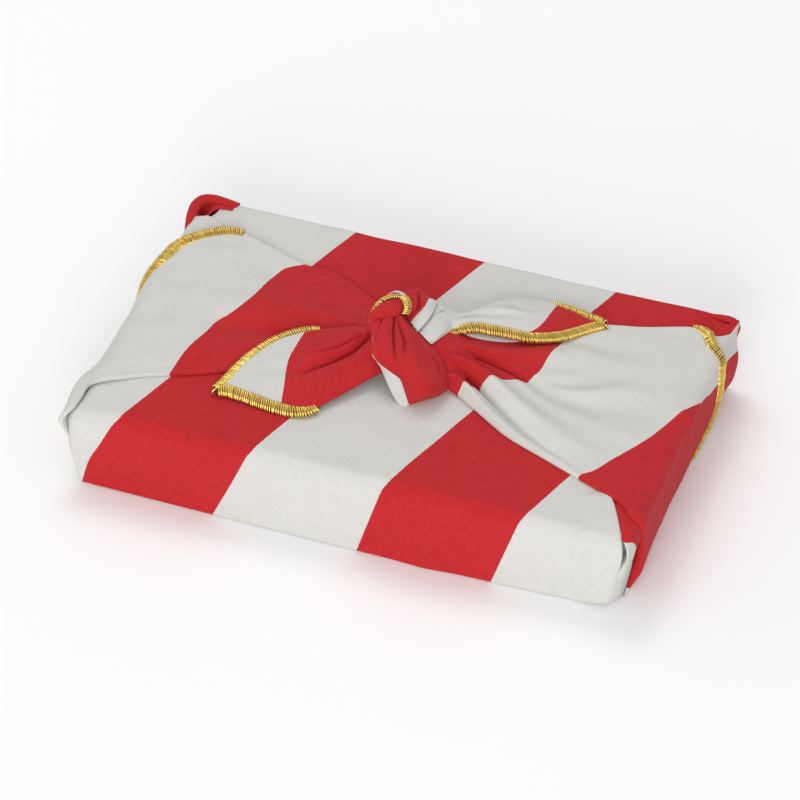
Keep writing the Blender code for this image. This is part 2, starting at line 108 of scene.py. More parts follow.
# How far each stripe's edge on the front face strays at the foot from a straight line.
FOOT_STRAY = [(-112, -6), (-54, -3.3), (5, 1.4), (63, 0.7)]
FAR_STRETCH = 0.9  # how fast the right flap's last stripe runs out down the short side
WHITE_DRIFT, WHITE_FROM = 0.2, 75  # cloth that stays white drifts so across a stripe along Y
EDGE_GOES_ON = 300  # a stripe's edge runs on straight past its ends, in lengths of its last step

# The edging.
EDGING_HEIGHT = 2.7
TAIL_EDGING_DROP = 0.7  # the edging's middle under the top of a tail
TAIL_EDGING_FACE = (0.1, -0.55, 0.82)  # the way that a tail's edging looks
FLAP_EDGING_TURN = (0, -0.9, 0.7)  # how a flap's edging is turned forwards and up
STITCH_PITCH = 0.98
STITCH_THREAD = 0.42  # half the thread's width
STITCH_SLANT = 0.55
EDGING_END = 8  # over how many stitches a run thins at its far end
STITCH_ARCH = (-0.30, 1.30, 15)  # where a stitch starts and ends, in half turns, and its points
THREAD_SIDES, CORE_SIDES = 6, 12
CORE_WIDTH, CORE_HEIGHT = 0.86, 0.80  # the core under the stitches, against the stitches' own size


# --- the shapes of the pieces, as tables ---

# Sections across a flap, from its foot on the short side to the knot. Each row: how far its front
# edge lies in from the parcel's upper edge (negative is down the side) and that edge's Y, the same
# for its back edge, and the cloth's height over one layer at its front, its middle and its back.
LEFT_FLAP = [
    (-36, -60, -36, -24, -0.8, -0.8, -0.8),
    (-33, -62, -33, -19, -0.4, 0, -0.4),
    (-26, -67, -26, -14, 0, 0.8, 0),
    (-16, -71, -16, -5, 0, 1, 0.2),
    (-8, -74, -8, 5, 0.6, 0.6, 0.4),
    (-3, -76, -3, 17, 0.8, 0.3, 0.4),
    (1, -73, -0.5, 29, 0.6, 0.2, 0.4),
    (3, -66, 0.5, 37.6, 0.8, 0.4, 0.2),
    (5, -57, 4.4, 44.8, 0.8, 0.8, 0),
    (16, -48, 11.4, 51.4, 0.6, 1, 0),
    (31, -41, 21, 56.2, 0.4, 1.2, 0.2),
    (40, -37, 31, 53.8, 0.2, 1.4, 0.4),
    (50, -32, 57, 45, 0.2, 1.6, 0.4),
    (62, -27, 67, 45, 0.6, 1.4, 0.6),
    (75, -21, 79, 40, 1.2, 2, 1),
    (88, -15, 92, 32, 2.4, 3.4, 1.8),
    (100, -10, 102, 26, 3.6, 6, 3),
    (110, -7, 110, 22, 4.6, 8, 4),
]
LEFT_EDGED_ROWS = (1, 10.7)  # the rows between which its back edge has the gold

RIGHT_FLAP = [
    (-36, -66, -36, 6, 2, -0.4, -0.8),
    (-33, -64, -34.8, 24, 2.6, 0.2, -0.4),
    (-28, -60, -31.5, 39, 2.8, 0.6, 0.4),
    (-20, -56.5, -26, 49, 2.6, 0.6, 0.8),
    (-10, -57, -15, 51.2, 2.2, 0.2, 0.5),
    (-3, -59.5, -5, 49.6, 2, 0, 0.2),
    (2, -60, 0, 50.4, 1.7, 0, 0.2),
    (6, -55, 3.2, 54.2, 1.4, 0.2, 0.3),
    (15, -50, 6.7, 59.6, 1, 0.6, 0.4),
    (30, -44, 14, 62, 0.6, 1.2, 0.2),
    (45, -38, 33, 55, 0.6, 1.6, 0.4),
    (63, -31, 51, 50, 1.2, 2, 0.6),
    (72, -26, 62, 44, 1.8, 2.6, 0.8),
    (82, -19.5, 75, 37, 2.2, 3.6, 1.2),
    (90, -14.5, 88, 28, 2.8, 5, 2.2),
    (98, -11, 100, 22, 3.6, 6, 3.4),
    (107, -9, 110, 18, 4, 6.4, 4),
]
RIGHT_EDGED_ROWS = (0.8, 9)

# The cloth under each flap, whose own edge shows beyond the flap's.
LEFT_UNDER_LAYER = [
    (-34, 0, -34, 46, -1.2, -1.2, -1.2),
    (-20, 0, -20, 57, -1, -0.8, -1),
    (-8, 10, -8, 61, -0.8, -0.8, -0.8),
    (-2, 20, -2, 62.2, -0.8, -0.9, -0.7),
    (2, 30, 2, 63, -0.8, -0.9, -0.6),
    (5, 38, 5, 62.6, -1, -0.9, -0.5),
    (9, 44, 8.5, 61.5, -1.2, -1, -0.7),
    (16, 46, 14, 60, -1.5, -1.5, -1.5),
]
RIGHT_UNDER_LAYER = [
    (-36, 44, -36, 66, -1.2, -0.6, 0.8),
    (-28, 44, -28, 73.5, -0.9, 0.8, 2.2),
    (-20, 44, -20, 75.4, -0.6, 1.2, 2.4),
    (-13, 44, -13, 75, -0.5, 0.4, 1),
    (-8, 44, -8, 74.6, -0.6, -0.2, 0.2),
    (-4, 44, -4, 72.4, -0.8, -0.6, 0.2),
    (-1, 46, -1, 66.4, -0.8, -0.7, 0),
    (2, 48, 2, 61, -0.8, -0.8, -0.4),
    (6, 50, 6, 60.2, -0.9, -0.9, -0.6),
    (11, 52, 10, 61.6, -1.1, -1, -0.8),
    (16, 54, 15, 61.6, -1.5, -1.5, -1.5),
]

# Folds and sharp creases of a flap or a tail, each a line of points seen from above on the unrolled
# cloth: X, Y, its half width there and how far it stands up (negative is a trough).
LEFT_FLAP_FOLDS = [
    # the trough that runs from the knot into the middle of the flap, and the ridges beside it
    [(-90, -5, 8, 0), (-80, -4.7, 8, -0.75), (-68, -4, 7, -1.38), (-55, -2, 6, -1.88),
     (-42, 0, 5, -2.25), (-30, 2, 4, -2)],
    [(-96, 6, 12, 0), (-80, 10, 12, 1), (-62, 13, 11, 1.5), (-45, 13, 9, 1.88), (-32, 11, 7, 1.75),
     (-20, 9, 5, 1)],
    [(-96, -27, 10, 0), (-80, -22, 10, 0.75), (-62, -16, 9, 1.25), (-44, -11, 7, 1.25),
     (-28, -7, 5, 0.75)],
    # low swells and dents towards the parcel's edge
    [(-118, -20, 9, 0), (-106, -15, 9, 0.62), (-90, -13, 8, 0)],
    [(-118, 12, 8, 0), (-104, 16, 8, -0.56), (-86, 20, 8, 0)],
    [(-116, -50, 6, 0), (-102, -42, 7, -0.5), (-84, -36, 6, 0)],
    [(-112, 36, 6, 0), (-98, 41, 7, 0.5), (-82, 42, 6, 0)],
    [(-84, 34, 7, 0), (-66, 33, 7, -0.62), (-46, 29, 6, -0.75), (-30, 20, 5, 0)],
]
LEFT_FLAP_CREASES = [
    [(-62, -2.6, 1.2, 0), (-50, -1.4, 1.5, -0.4), (-38, 0.6, 1.5, -0.8), (-28, 2.4, 1.5, -0.6)],
    [(-52, 23, 1.5, 0), (-40, 19.5, 1.6, -0.4), (-28, 14, 1.6, -0.5)],
]

RIGHT_FLAP_FOLDS = [
    # the narrow roll along the front edge
    [(92, -44, 4.5, 0), (80, -39.4, 4.4, 0.5), (65, -33.4, 4.2, 1.25), (50, -25.4, 3.8, 2.25),
     (41, -19.4, 3.6, 2.88), (32, -12.4, 3.3, 3.5), (24, -8, 3, 3)],
    # the broad roll behind it
    [(98, -33, 10, 0), (88, -29.4, 10, 1), (73, -23, 9, 2.12), (57.5, -15.4, 7.5, 3.5),
     (43, -6.6, 6, 4.12), (34, -2, 4.6, 4), (24, 0.6, 3.4, 3.25), (17, 1.6, 2.6, 2.25)],
    # the long trough behind that, and its branch
    [(112, 8, 11, 0), (100, 3, 11, -1.12), (84, -1.6, 9, -1.75), (70, -1.4, 7, -1.88),
     (60, 1, 5.5, -2), (51, 4.4, 4, -2.12), (40, 6.6, 3, -2), (28, 7, 2.4, -1.5),
     (19, 6.6, 2, -1)],
    [(94, 22, 8, 0), (82, 14, 7, -1), (70, 8, 6, -1.5), (58, 5, 4.6, -1)],
    # the ridges that fan out of the knot
    [(88, 27, 11, 0), (71, 27, 11, 1.12), (58, 22, 9, 1.75), (46, 16.4, 7, 1.88),
     (34, 12.6, 5, 1.62), (22, 10.4, 4, 1)],
    [(104, 12, 8, 0), (92, 13, 8, 0.88), (80, 5.4, 6, 0.88), (68, 3.4, 4, 0)],
    [(96, 36, 8, 0), (82, 35, 8, -0.75), (66, 33, 6, -0.5), (52, 30, 5, 0)],
    [(112, -14, 8, 0), (100, -14, 8, 0.62), (86, -14, 7, 0)],
    # where the cloth draws down over the parcel's edge and its short side
    [(114, 9, 4, 0), (120, 8, 4, 0.75), (136, 5, 4, 0.5), (150, 2, 4, 0)],
    [(118, -34, 7, 0), (132, -32, 6, 0.62), (148, -28, 5, 0)],
    [(122, 34, 6, 0), (134, 36, 6, 0.62), (148, 38, 5, 0)],
]
RIGHT_FLAP_CREASES = [
    # between the two rolls
    [(88, -38.6, 1.6, 0), (78, -34.6, 2, -0.5), (65, -28.7, 2.2, -1.25), (52, -20.4, 2.2, -2.38),
     (42.5, -13.6, 2.2, -3.25), (35, -8.2, 2, -3.75), (27, -4.2, 1.7, -3.25), (18, -2.6, 1.5, -2)],
    # behind the broad one
    [(62, 0.6, 1.4, 0), (51.6, 4.2, 1.6, -0.88), (40, 6.2, 1.6, -1.5), (28.4, 6.6, 1.6, -1.88),
     (18, 6.2, 1.5, -1.5)],
    [(46, 12, 1.4, 0), (36, 10.4, 1.5, -0.75), (24, 9.6, 1.5, -0.88)],
]

# Where a stripe's edge crosses each piece, seen from above on the unrolled cloth.
LEFT_FLAP_STRIPE = [
    (-90, -39), (-89, -25), (-85.5, -12), (-84, -4), (-79.5, 3), (-75.5, 13), (-73, 28), (-70, 38),
    (-63, 44),
]
RIGHT_FLAP_NEAR_STRIPE = [
    (25.8, -19), (28, -14.3), (30.2, -11.4), (32.8, -9.9), (35.6, -8.6), (38, -6.3), (42, -2.1),
    (46.5, 0.2), (52, 3.6), (55.4, 8.6), (56.4, 16.5), (57.5, 25.1), (58.9, 33.7), (60.3, 40.3),
    (61.5, 50),
]
RIGHT_FLAP_FAR_STRIPE = [
    (80, -68), (86, -60), (90.5, -48), (91.5, -43), (96, -38.5), (101.6, -28.2), (109.3, -14.8),
    (114.1, -2.1), (117.7, 8.4), (120.5, 16.9), (126, 30), (131, 42), (136, 56),
]
RIGHT_UNDER_STRIPE = [(127, 46), (130, 51), (132, 57), (132.6, 63.8), (134.2, 69), (135.6, 76)]
LEFT_TAIL_STRIPE = [
    (-36.5, -53), (-38.6, -44), (-40.7, -35), (-42.6, -28.7), (-44.3, -20.5), (-44.5, -11.2),
    (-44.4, -3.6), (-44.2, 3),
]
RIGHT_TAIL_STRIPE = [
    (41, 18), (42.4, 22.4), (44.4, 26.4), (46.8, 31), (48, 38), (48.4, 45), (48.4, 56),
]
GUSSET_STRIPE = [  # Y and Z on the parcel's side
    (-54, -4), (-56, 8), (-60, 13), (-62.6, 17), (-64.5, 23), (-66.6, 29.6), (-69.6, 34.6),
    (-73, 35.8), (-77, 35),
]

# Sections across a strand or a tail. Each row: a point on its first edge, a point on its second,
# how far its middle stands above the line between them, and for a strand how far it reaches below.
KNOT_CORE = [
    (-25, -2, 40, -26, 25, 40, 3, 4),
    (-14, -8, 41, -14, 24, 43, 6, 6),
    (-4, -11, 41, -5, 25, 44, 8, 6),
    (6, -13, 41, 6, 25, 44, 8, 6),
    (16, -12, 40, 15, 25, 42, 6, 5),
    (28, -11, 39.5, 27, 20, 40, 3, 4),
]
# The band of cloth that comes up from the left and over the top of the knot.
KNOT_BAND = [
    (-12.6, -4, 49, -15, 1.6, 50, 0.6, 3),
    (-14.3, -2.8, 52.3, -16, 2.6, 53.3, 1, 3),
    (-15, 0.3, 55, -16.7, 6.1, 55.8, 1.4, 3),
    (-14, 1.5, 56.8, -15.8, 7.6, 57.3, 1.6, 3),
    (-11.6, 2.2, 57.7, -14.3, 10.2, 58, 1.6, 3),
    (-8.7, 3.1, 58, -12.3, 12.2, 58.3, 1.5, 3),
    (-6.7, 4.6, 57.6, -10, 13.2, 58.2, 1.4, 3),
    (-5.5, 7, 56.8, -7.8, 13, 57.4, 1.2, 3),
    (-5.9, 9.6, 55.4, -6.6, 12, 55.8, 0.8, 2),
]
KNOT_BIGHT = [
    (-8, 8, 48.5, -10, 23, 46, 1.4, 6),
    (-2, 7, 49.6, -8.5, 27, 46, 2.6, 7),
    (2.4, 6.5, 49.4, -3.5, 28, 45, 2.8, 7),
    (6, 5.5, 48.6, 3.5, 28, 44, 2.4, 6),
    (10, 5, 47.2, 10, 27.4, 43, 1.6, 5),
    (14, 9, 45, 15.5, 27, 42.5, 1, 3),
    (20, 16, 43.4, 20, 28, 42.4, 0.4, 2),
]
LEFT_TAIL = [
    (-14, 9, 47, -2, -13, 44.5, 3),
    (-20, 7, 46.5, -7.5, -18, 43, 3.4),
    (-27.6, 5.9, 45, -14.9, -28, 41.2, 3.8),
    (-38.7, 1.3, 43.6, -24.2, -42, 40.4, 3.4),
    (-45.8, -1.6, 42.5, -29, -46, 40.2, 2.6),
    (-54.2, -9.1, 41.5, -36, -47.2, 40.1, 1.8),
    (-60.4, -21, 41, -45, -46.4, 40.1, 1.1),
    (-63.4, -31, 40.6, -54, -45, 40.1, 0.6),
    (-65, -39, 40.4, -61, -44, 40.1, 0.2),
]
LEFT_TAIL_TIP = (-66.6, -45, 40.2)
LEFT_TAIL_FOLDS = [
    [(-40, -29, 4, 0), (-33, -23, 4, -1.25), (-26, -16, 3.6, -2.25), (-20, -9, 3, -2.5),
     (-16, 0, 2.6, -2)],
    [(-46, -18, 5, 0), (-34, -14, 5, 0.75), (-26, -8, 4, 1.12), (-20, 0, 3, 0.75)],
    [(-42, -36, 6, 0), (-30, -32, 6, 0.75), (-21, -22, 5, 1.12), (-14, -12, 4, 0.75)],
    [(-58, -30, 6, 0), (-48, -28, 6, -0.5), (-40, -22, 5, 0)],
]
LEFT_TAIL_CREASES = [
    [(-38, -28.6, 1.4, 0), (-34, -25, 1.8, -1.38), (-26.7, -17.6, 2, -3), (-20.2, -10.2, 2, -4),
     (-17.5, -3.1, 1.8, -3.5), (-16, 3, 1.5, -2.25)],
    [(-40, -19, 1.4, 0), (-34, -15, 1.6, -1.12), (-25.5, -8.4, 1.8, -2.38), (-19.4, 0, 1.6, -2.5)],
]
# The rows from which a tail's first and second edge have the gold, as far as its tip.
LEFT_TAIL_EDGED_FROM = (3, 3)

RIGHT_TAIL = [
    (8, 12, 48, 9, 25, 47, 1.6),
    (14, 15.1, 47.3, 16, 29.5, 46, 2),
    (22.3, 20.6, 47.6, 20, 37, 44.6, 2.2),
    (30, 22, 47.2, 25.5, 46.2, 43, 2.6),
    (38, 23.5, 46.4, 32.9, 51.4, 42, 2.8),
    (46.3, 25.6, 45, 40, 53.2, 41.5, 2.4),
    (55.4, 31.8, 43.2, 47, 53, 41.3, 1.6),
    (61.5, 38.6, 42, 56, 51.6, 41.1, 0.8),
    (66, 44, 41.3, 63.4, 50, 41.1, 0.3),
]
RIGHT_TAIL_TIP = (70.6, 48.4, 41.1)
RIGHT_TAIL_FOLDS = [
    [(12, 22, 3, 0), (20, 27, 3.4, -1), (30, 31, 4, -0.75), (40, 34, 4, 0)],
    [(24, 36, 3, 0), (30, 38.6, 3.4, -0.75), (38, 39, 4, -0.5), (46, 41, 4, 0)],
    [(22, 32, 3, 0), (30, 34.6, 3, 0.75), (40, 38, 3, 0.5), (50, 42, 4, 0)],
]
RIGHT_TAIL_CREASES = [
    [(14, 21.5, 1.2, -0.62), (17, 25.6, 1.4, -1), (21, 28.4, 1.4, -0.88), (27, 30, 1.4, 0)],
    [(27, 35, 1.2, 0), (31.5, 38.4, 1.4, -0.62), (37, 38.6, 1.4, -0.5), (41, 38, 1.2, 0)],
]
RIGHT_TAIL_EDGED_FROM = (1, 6)

RIGHT_TAIL_UNDER = [
    (13, 18.2, 44.4, 18, 27, 44, 0.6, 3),
    (19, 18.6, 44.2, 22, 28, 43.6, 0.8, 3),
    (26, 18.9, 43.6, 28, 31, 43, 0.8, 3),
    (33, 20.4, 43, 34, 32, 42.6, 0.8, 3),
    (40, 23.6, 42.4, 40, 34, 42, 0.6, 3),
    (45, 28, 41.6, 44, 37, 41, 0.2, 2.6),
]

# The rolled rim of the pocket at the back left corner, and the folded ear at the back right one.
BACK_LEFT_RIM = [
    (-119.6, 54, 30.5, -116.6, 55, 33.5, 0.3, 3),
    (-121, 59, 33.6, -117.9, 60, 36.2, 0.8, 3),
    (-121.7, 64, 34.8, -118.8, 64.2, 37.2, 1.2, 3),
    (-121.9, 69, 35, -119, 68.2, 37.6, 1.4, 3),
    (-120.4, 73.4, 35, -117.6, 71, 37.8, 1.5, 3),
    (-116.4, 75.2, 35, -115, 71.8, 37.8, 1.4, 3),
    (-111, 75.2, 34.8, -111, 71.4, 37.4, 0.9, 3),
    (-104, 74.4, 34.4, -104.5, 71.2, 36.4, 0.2, 3),
]
BACK_RIGHT_EAR = [
    (106, 74, 34, 106, 72, 36, 0, 2),
    (113, 74.8, 35, 112.4, 71.6, 37, 0.2, 2),
    (118.6, 75, 34.9, 116.8, 71, 37.7, 0.4, 2),
    (121.2, 74.9, 33, 119, 71.8, 36.2, 0.4, 1.6),
    (121.5, 74.8, 29.8, 120.1, 74, 31.4, 0.3, 1.2),
    (120.6, 75, 26, 119.6, 74.7, 26.8, 0.2, 1),
    (119.8, 75.2, 22.5, 119.4, 75, 22.9, 0.1, 0.6),
]

# Nets of points: each row crosses a fold of cloth, and the rows follow one another along it.
KNOT_WRAP = [
    [(-15.7, 8.7, 56), (-13.2, 9.3, 57.3), (-10.9, 10.2, 57.8), (-8.5, 10.8, 57.5),
     (-6.7, 10.6, 56.5), (-5.6, 11.4, 54)],
    [(-15.6, 3.8, 55), (-12.5, 3.7, 56.8), (-9.3, 4.5, 57.3), (-7.1, 5.7, 57), (-4.9, 7.1, 56),
     (-3.3, 8.8, 53.5)],
    [(-13.9, -2.8, 54.2), (-10.2, -3.8, 56.6), (-6.7, -2.6, 57.2), (-3.6, -0.1, 56.6),
     (-0.9, 3.2, 54.8), (1.1, 6.1, 52)],
    [(-11.5, -9.8, 53.4), (-7.4, -10.2, 56), (-3.2, -8.3, 56.8), (0.6, -5.5, 56.2),
     (4.4, -1.6, 54.2), (7.6, 1.6, 51)],
    [(-8.8, -16.5, 52), (-4.1, -15.6, 54.8), (0.5, -13.8, 55.8), (5.1, -10.7, 55.2),
     (9.5, -6.1, 52.8), (12.9, -0.8, 49)],
    [(-4.3, -18.6, 50.4), (0.7, -19, 53), (5.2, -18.2, 54.2), (9.8, -15.3, 53.8), (13.9, -9.7, 51),
     (17, -3.6, 47)],
    [(0.7, -20.2, 48.8), (5.6, -21.7, 51.2), (9.9, -21.6, 52.4), (14.1, -18.7, 51.8),
     (17.8, -12, 48.6), (19.5, -5.6, 45)],
    [(5, -21.3, 47.2), (10.1, -24.6, 48.4), (14.3, -25.3, 49.6), (18.1, -22.5, 49),
     (20.8, -15.3, 46.2), (21.4, -7.8, 43)],
    [(7.7, -23.4, 43.4), (12.1, -26.3, 44.4), (15.9, -26.2, 45.4), (19.4, -22.4, 45),
     (22.1, -15.3, 43), (22.9, -9.7, 41.5)],
    [(10.6, -25.3, 38.8), (13.1, -24.3, 39.6), (16.3, -22.4, 40.4), (19.5, -19.1, 40.6),
     (22.3, -14.6, 40.6), (23.9, -10.5, 40.2)],
    [(10.8, -22, 36.5), (13.4, -20.5, 36.8), (16.2, -18.6, 37.2), (19, -15.8, 37.4),
     (21.4, -12, 37.6), (22.8, -8.6, 38)],
]
KNOT_FACET = [
    [(-16.5, 12.1, 52), (-15.7, 8.7, 56)],
    [(-16.2, 6.6, 51), (-15.6, 3.8, 55)],
    [(-14.5, 0.2, 50), (-13.9, -2.8, 54.2)],
    [(-12.3, -6.6, 49), (-11.5, -9.8, 53.4)],
    [(-9.2, -13, 48), (-8.8, -16.5, 52)],
    [(-5.1, -17.2, 47.4), (-4.3, -18.6, 50.4)],
    [(-1.3, -20.8, 44.6), (0.7, -20.2, 48.8)],
    [(2.5, -23.9, 41.2), (5, -21.3, 47.2)],
    [(5.8, -25.8, 38.6), (7.7, -23.4, 43.4)],
    [(9.1, -26.4, 37.6), (10.6, -25.3, 38.8)],
]
KNOT_LOBE = [
    [(-4.2, 9.8, 53), (-5.1, 12.4, 55.6), (-6.8, 15.7, 56.8), (-7.6, 19.3, 57), (-8.1, 24.2, 55.5),
     (-8.1, 28.2, 52.5), (-8.1, 29.2, 46.5)],
    [(-2.5, 8.8, 53.2), (-3, 12.7, 55.4), (-4.1, 17, 56.6), (-5.1, 21, 56.4), (-6.4, 26.2, 54.8),
     (-6.4, 30.2, 51.8), (-6.4, 31.2, 45.8)],
    [(-1.5, 8.6, 52.8), (-0.9, 12.4, 54.6), (-1.1, 17.1, 55.2), (-2.5, 22.3, 54.8),
     (-4, 27.8, 53.4), (-3.7, 31.4, 50.4), (-3.5, 32.3, 44.4)],
    [(-0.7, 8.1, 52.6), (0.3, 12.1, 54.4), (1.1, 16.1, 55), (0.6, 21.1, 54.4), (-1.1, 27.1, 52.6),
     (-0.6, 30.1, 49.6), (-0.3, 31.1, 43.6)],
    [(0.1, 7.8, 52), (1.1, 13.5, 53.2), (2.4, 18.6, 53.4), (1.9, 24.3, 52.6), (0.8, 28, 51),
     (1.4, 30.5, 48), (1.8, 31.5, 42)],
]
KNOT_FIRST_STRIP = [
    [(-1, 7.9, 53.2), (0.3, 13.2, 54.4), (1.6, 18.3, 54.6), (0.9, 24.6, 53.2), (0.9, 27.1, 50.7),
     (0.9, 28.1, 45.2)],
    [(1.4, 5.5, 53.4), (3, 11.5, 54.8), (3.5, 17.9, 54.8), (2.4, 25.2, 52.8), (2.4, 27.4, 50.3),
     (2.4, 28.4, 44.8)],
    [(3.3, 4.2, 52.8), (5.1, 11.1, 53.8), (5.4, 17.7, 53.6), (4.2, 25.3, 51.6), (4.2, 27.3, 49.1),
     (4.2, 28.3, 43.6)],
]
KNOT_SECOND_STRIP = [
    [(1.7, 7.2, 50.8), (3.3, 13.7, 51.8), (3.7, 20, 51.6), (2.9, 27.1, 49.8), (2.9, 29.1, 47.3),
     (2.9, 30.1, 41.8)],
    [(6.5, 3, 51.4), (8.2, 9.8, 52.2), (8, 18.3, 51.4), (6, 26.4, 49.4), (6.3, 28.4, 46.9),
     (6.3, 29.4, 41.4)],
    [(10.4, 1.2, 50.2), (12.3, 8.3, 50.8), (12.5, 17.5, 49.8), (10.1, 26.9, 48), (10.6, 28.9, 46),
     (10.7, 29.9, 42)],
    [(10.6, 3.2, 48.4), (13.2, 10.2, 48.4), (14.5, 17, 47.8), (13.8, 26.3, 46.8),
     (14.6, 27.8, 45.3), (14.8, 28.3, 41.8)],
]
KNOT_SLIVER = [
    [(-15.4, 13.6, 56.6), (-15.2, 15.6, 55.6)],
    [(-13.6, 16.6, 58.2), (-14.2, 19, 56.2)],
    [(-11.2, 17.8, 59), (-12, 20.8, 57)],
    [(-8.6, 17.2, 58.8), (-8.6, 20.6, 57)],
    [(-6.8, 15.4, 58.2), (-5.6, 18, 56.6)],
]
FRONT_RIGHT_FOLD = [
    [(102.5, -46, 37.4), (96, -48, 36.6), (88, -50, 36.4)],
    [(105, -49.7, 38.5), (98, -52, 37.6), (89, -54, 36.4)],
    [(108.4, -55.4, 38.5), (102, -58, 37.8), (91, -61, 36.4)],
    [(112, -62, 38.3), (106, -64.5, 37.8), (94, -67.5, 36.2)],
    [(115.2, -69, 37.8), (109, -71, 36.8), (96, -72.6, 34.6)],
    [(117.4, -74, 35.8), (112, -75, 34), (98, -73.8, 31)],
    [(118.2, -75.5, 31), (113, -75.4, 29), (99, -73.8, 27)],
    [(117.6, -75.2, 25), (112, -75, 23.5), (99, -73.8, 22)],
    [(115.5, -73.9, 17), (110, -74, 16), (98, -73.6, 16)],
    [(113.5, -72, 11), (109, -72.5, 11), (98, -72.4, 11)],
]
FRONT_RIGHT_GUSSET = [
    [(101, -48.5, 35.4), (102.6, -48.6, 36.6), (104, -48.8, 37.1), (106, -49.7, 37.3),
     (108, -50, 37.3)],
    [(104.6, -57.5, 35.2), (106.8, -56.8, 36.6), (108.9, -55.8, 37.3), (112, -54.8, 37.6),
     (115, -54, 37.4)],
    [(107.6, -64, 34.8), (110.4, -63.4, 36.2), (113, -62.3, 37.4), (116, -60, 37.8),
     (119, -57, 37.2)],
    [(111, -66.5, 32.6), (114.8, -68.6, 35.2), (117.2, -69.4, 36.9), (119.2, -65, 37.4),
     (121, -58, 36)],
    [(114.5, -64, 31), (117.6, -69.2, 33.2), (120.3, -73.4, 34.4), (121.6, -68, 34.6),
     (121.6, -58, 33.5)],
    [(115.5, -62.5, 29), (118.9, -69.2, 29.6), (121.1, -74.8, 30), (122.2, -69, 29.5),
     (121.6, -57, 28.5)],
    [(116.2, -68, 24.6), (118.2, -72.6, 24.8), (120.3, -74.2, 24.5), (120.9, -68.5, 23),
     (120.2, -56, 22)],
    [(112.5, -72.8, 16), (115.4, -73.3, 15.6), (117.9, -71.6, 15), (118.8, -66.5, 13),
     (118.4, -57, 12)],
    [(110.5, -71.8, 2), (113.4, -71.6, 1.8), (115.2, -70.2, 1.5), (116.4, -66, 1), (116.2, -59, 1)],
]

# Folds and creases of a net, each a line of points in space: X, Y, Z, half width and height.
WRAP_PLEATS = [
    [(-12.4, 4.5, 57.5, 1, -1.89), (-11.2, -1.6, 56.2, 1.2, -2.29), (-10.6, -7.4, 55, 1.2, -1.49),
     (-10, -11.5, 53.6, 1.4, 0)],
    [(-7.2, 6.1, 57.2, 0.9, -2.7), (-4.6, -2.2, 56.9, 1.2, -4.05), (-1.7, -10.2, 56.6, 1.1, -3.38),
     (1.1, -16.5, 55.4, 1.3, -2.43), (4.1, -21.8, 52.4, 1.6, 0)],
    [(-6.2, 6.2, 57.2, 0.9, -1.89), (-2.2, -0.4, 56.5, 1.2, -3.65), (1.2, -5.9, 56.2, 1.2, -3.38),
     (3.4, -10.6, 55.6, 1.3, -1.89), (4.6, -16, 55, 1.4, 0)],
    [(12.3, -2.9, 50.5, 1.4, 0), (15.2, -6, 49.5, 1.7, -1.76), (18.5, -9.7, 47.5, 1.8, -2.03),
     (20.7, -13.8, 45.5, 2, 0)],
]
WRAP_FOLDS = [
    [(-5, 6, 55.8, 1.6, 0.68), (-0.1, 0, 55.4, 2.4, 1.22), (4.9, -7.8, 55, 3, 1.22),
     (9.3, -16.2, 53.8, 3.6, 0.81), (13.4, -22.7, 50.5, 4, 0)],
    [(-9.4, 4, 57, 1.6, 0.54), (-7, -4, 56.6, 2.2, 0.94), (-4.4, -12, 55.5, 2.8, 0.68),
     (-1, -18, 53, 3, 0)],
]
LOBE_CREASES = [
    [(-4.6, 27.5, 53.6, 0.9, -1.62), (-2.4, 22.6, 54.8, 1.1, -2.56),
     (-0.9, 18.5, 55.2, 1.2, -2.84), (-0.5, 15, 54.8, 1.2, -2.29), (-0.8, 11.6, 54.2, 1.2, 0)],
]
STRIP_CREASES = [
    [(6.2, 18.9, 51.5, 0.9, -0.41), (7.4, 21.9, 50.6, 1.1, -1.35), (8.3, 25.5, 49, 1.1, -1.22),
     (9.5, 27.1, 48.2, 1, 0)],
]

# Points along the gold at the knot: the place, and the way that its face looks.
KNOT_EDGING = [
    (-16.8, 3.4, 52.6, -0.7, -0.4, 0.6),
    (-16.6, 7.2, 55.6, -0.6, -0.2, 0.8),
    (-15.6, 10.4, 57.2, -0.4, 0, 0.9),
    (-13.6, 13.2, 58.2, -0.2, 0.2, 0.9),
    (-11.4, 14.6, 58.8, 0, 0.2, 0.9),
    (-9.2, 15.2, 59, 0.2, 0.1, 0.9),
]
KNOT_EDGING_BUNCH = [
    (-8.2, 16.6, 57.4, 0.2, 0, 0.9),
    (-6.4, 15.6, 58.2, 0.3, -0.2, 0.9),
    (-4.4, 13.2, 58.2, 0.4, -0.3, 0.9),
    (-3.2, 10.6, 57.6, 0.4, -0.4, 0.8),
    (-3.4, 8, 56.8, 0.3, -0.5, 0.8),
]

# A folded corner of the base layer: which corner it is (the signs of its X and Y), and how far it
# stands out along X and Y.
Ear = namedtuple("Ear", "side_x side_y out_x out_y")
EARS = [Ear(-1, -1, 0.3, 1), Ear(-1, 1, 1, 1.2), Ear(1, 1, 2.5, 0.8), Ear(1, -1, 0, 0.6)]

# A place where the cloth is drawn out or pushed in, how far, and how far off that dies away.
Pull = namedtuple("Pull", "x y z out_x out_y out_z reach")
EAR_PULLS = [Pull(-120, -76, 32, -2, -2.2, -1, 24), Pull(-119, -74.4, 16, -2.4, 0, 0, 17)]
# The left flap is drawn so tight that it stands off the parcel's edge.
LEFT_EDGE_PULLS = [Pull(-120, 18, 36, -1.3, 0, 0.3, 32), Pull(-120, -56, 35, -3.4, 0, 0.2, 17)]
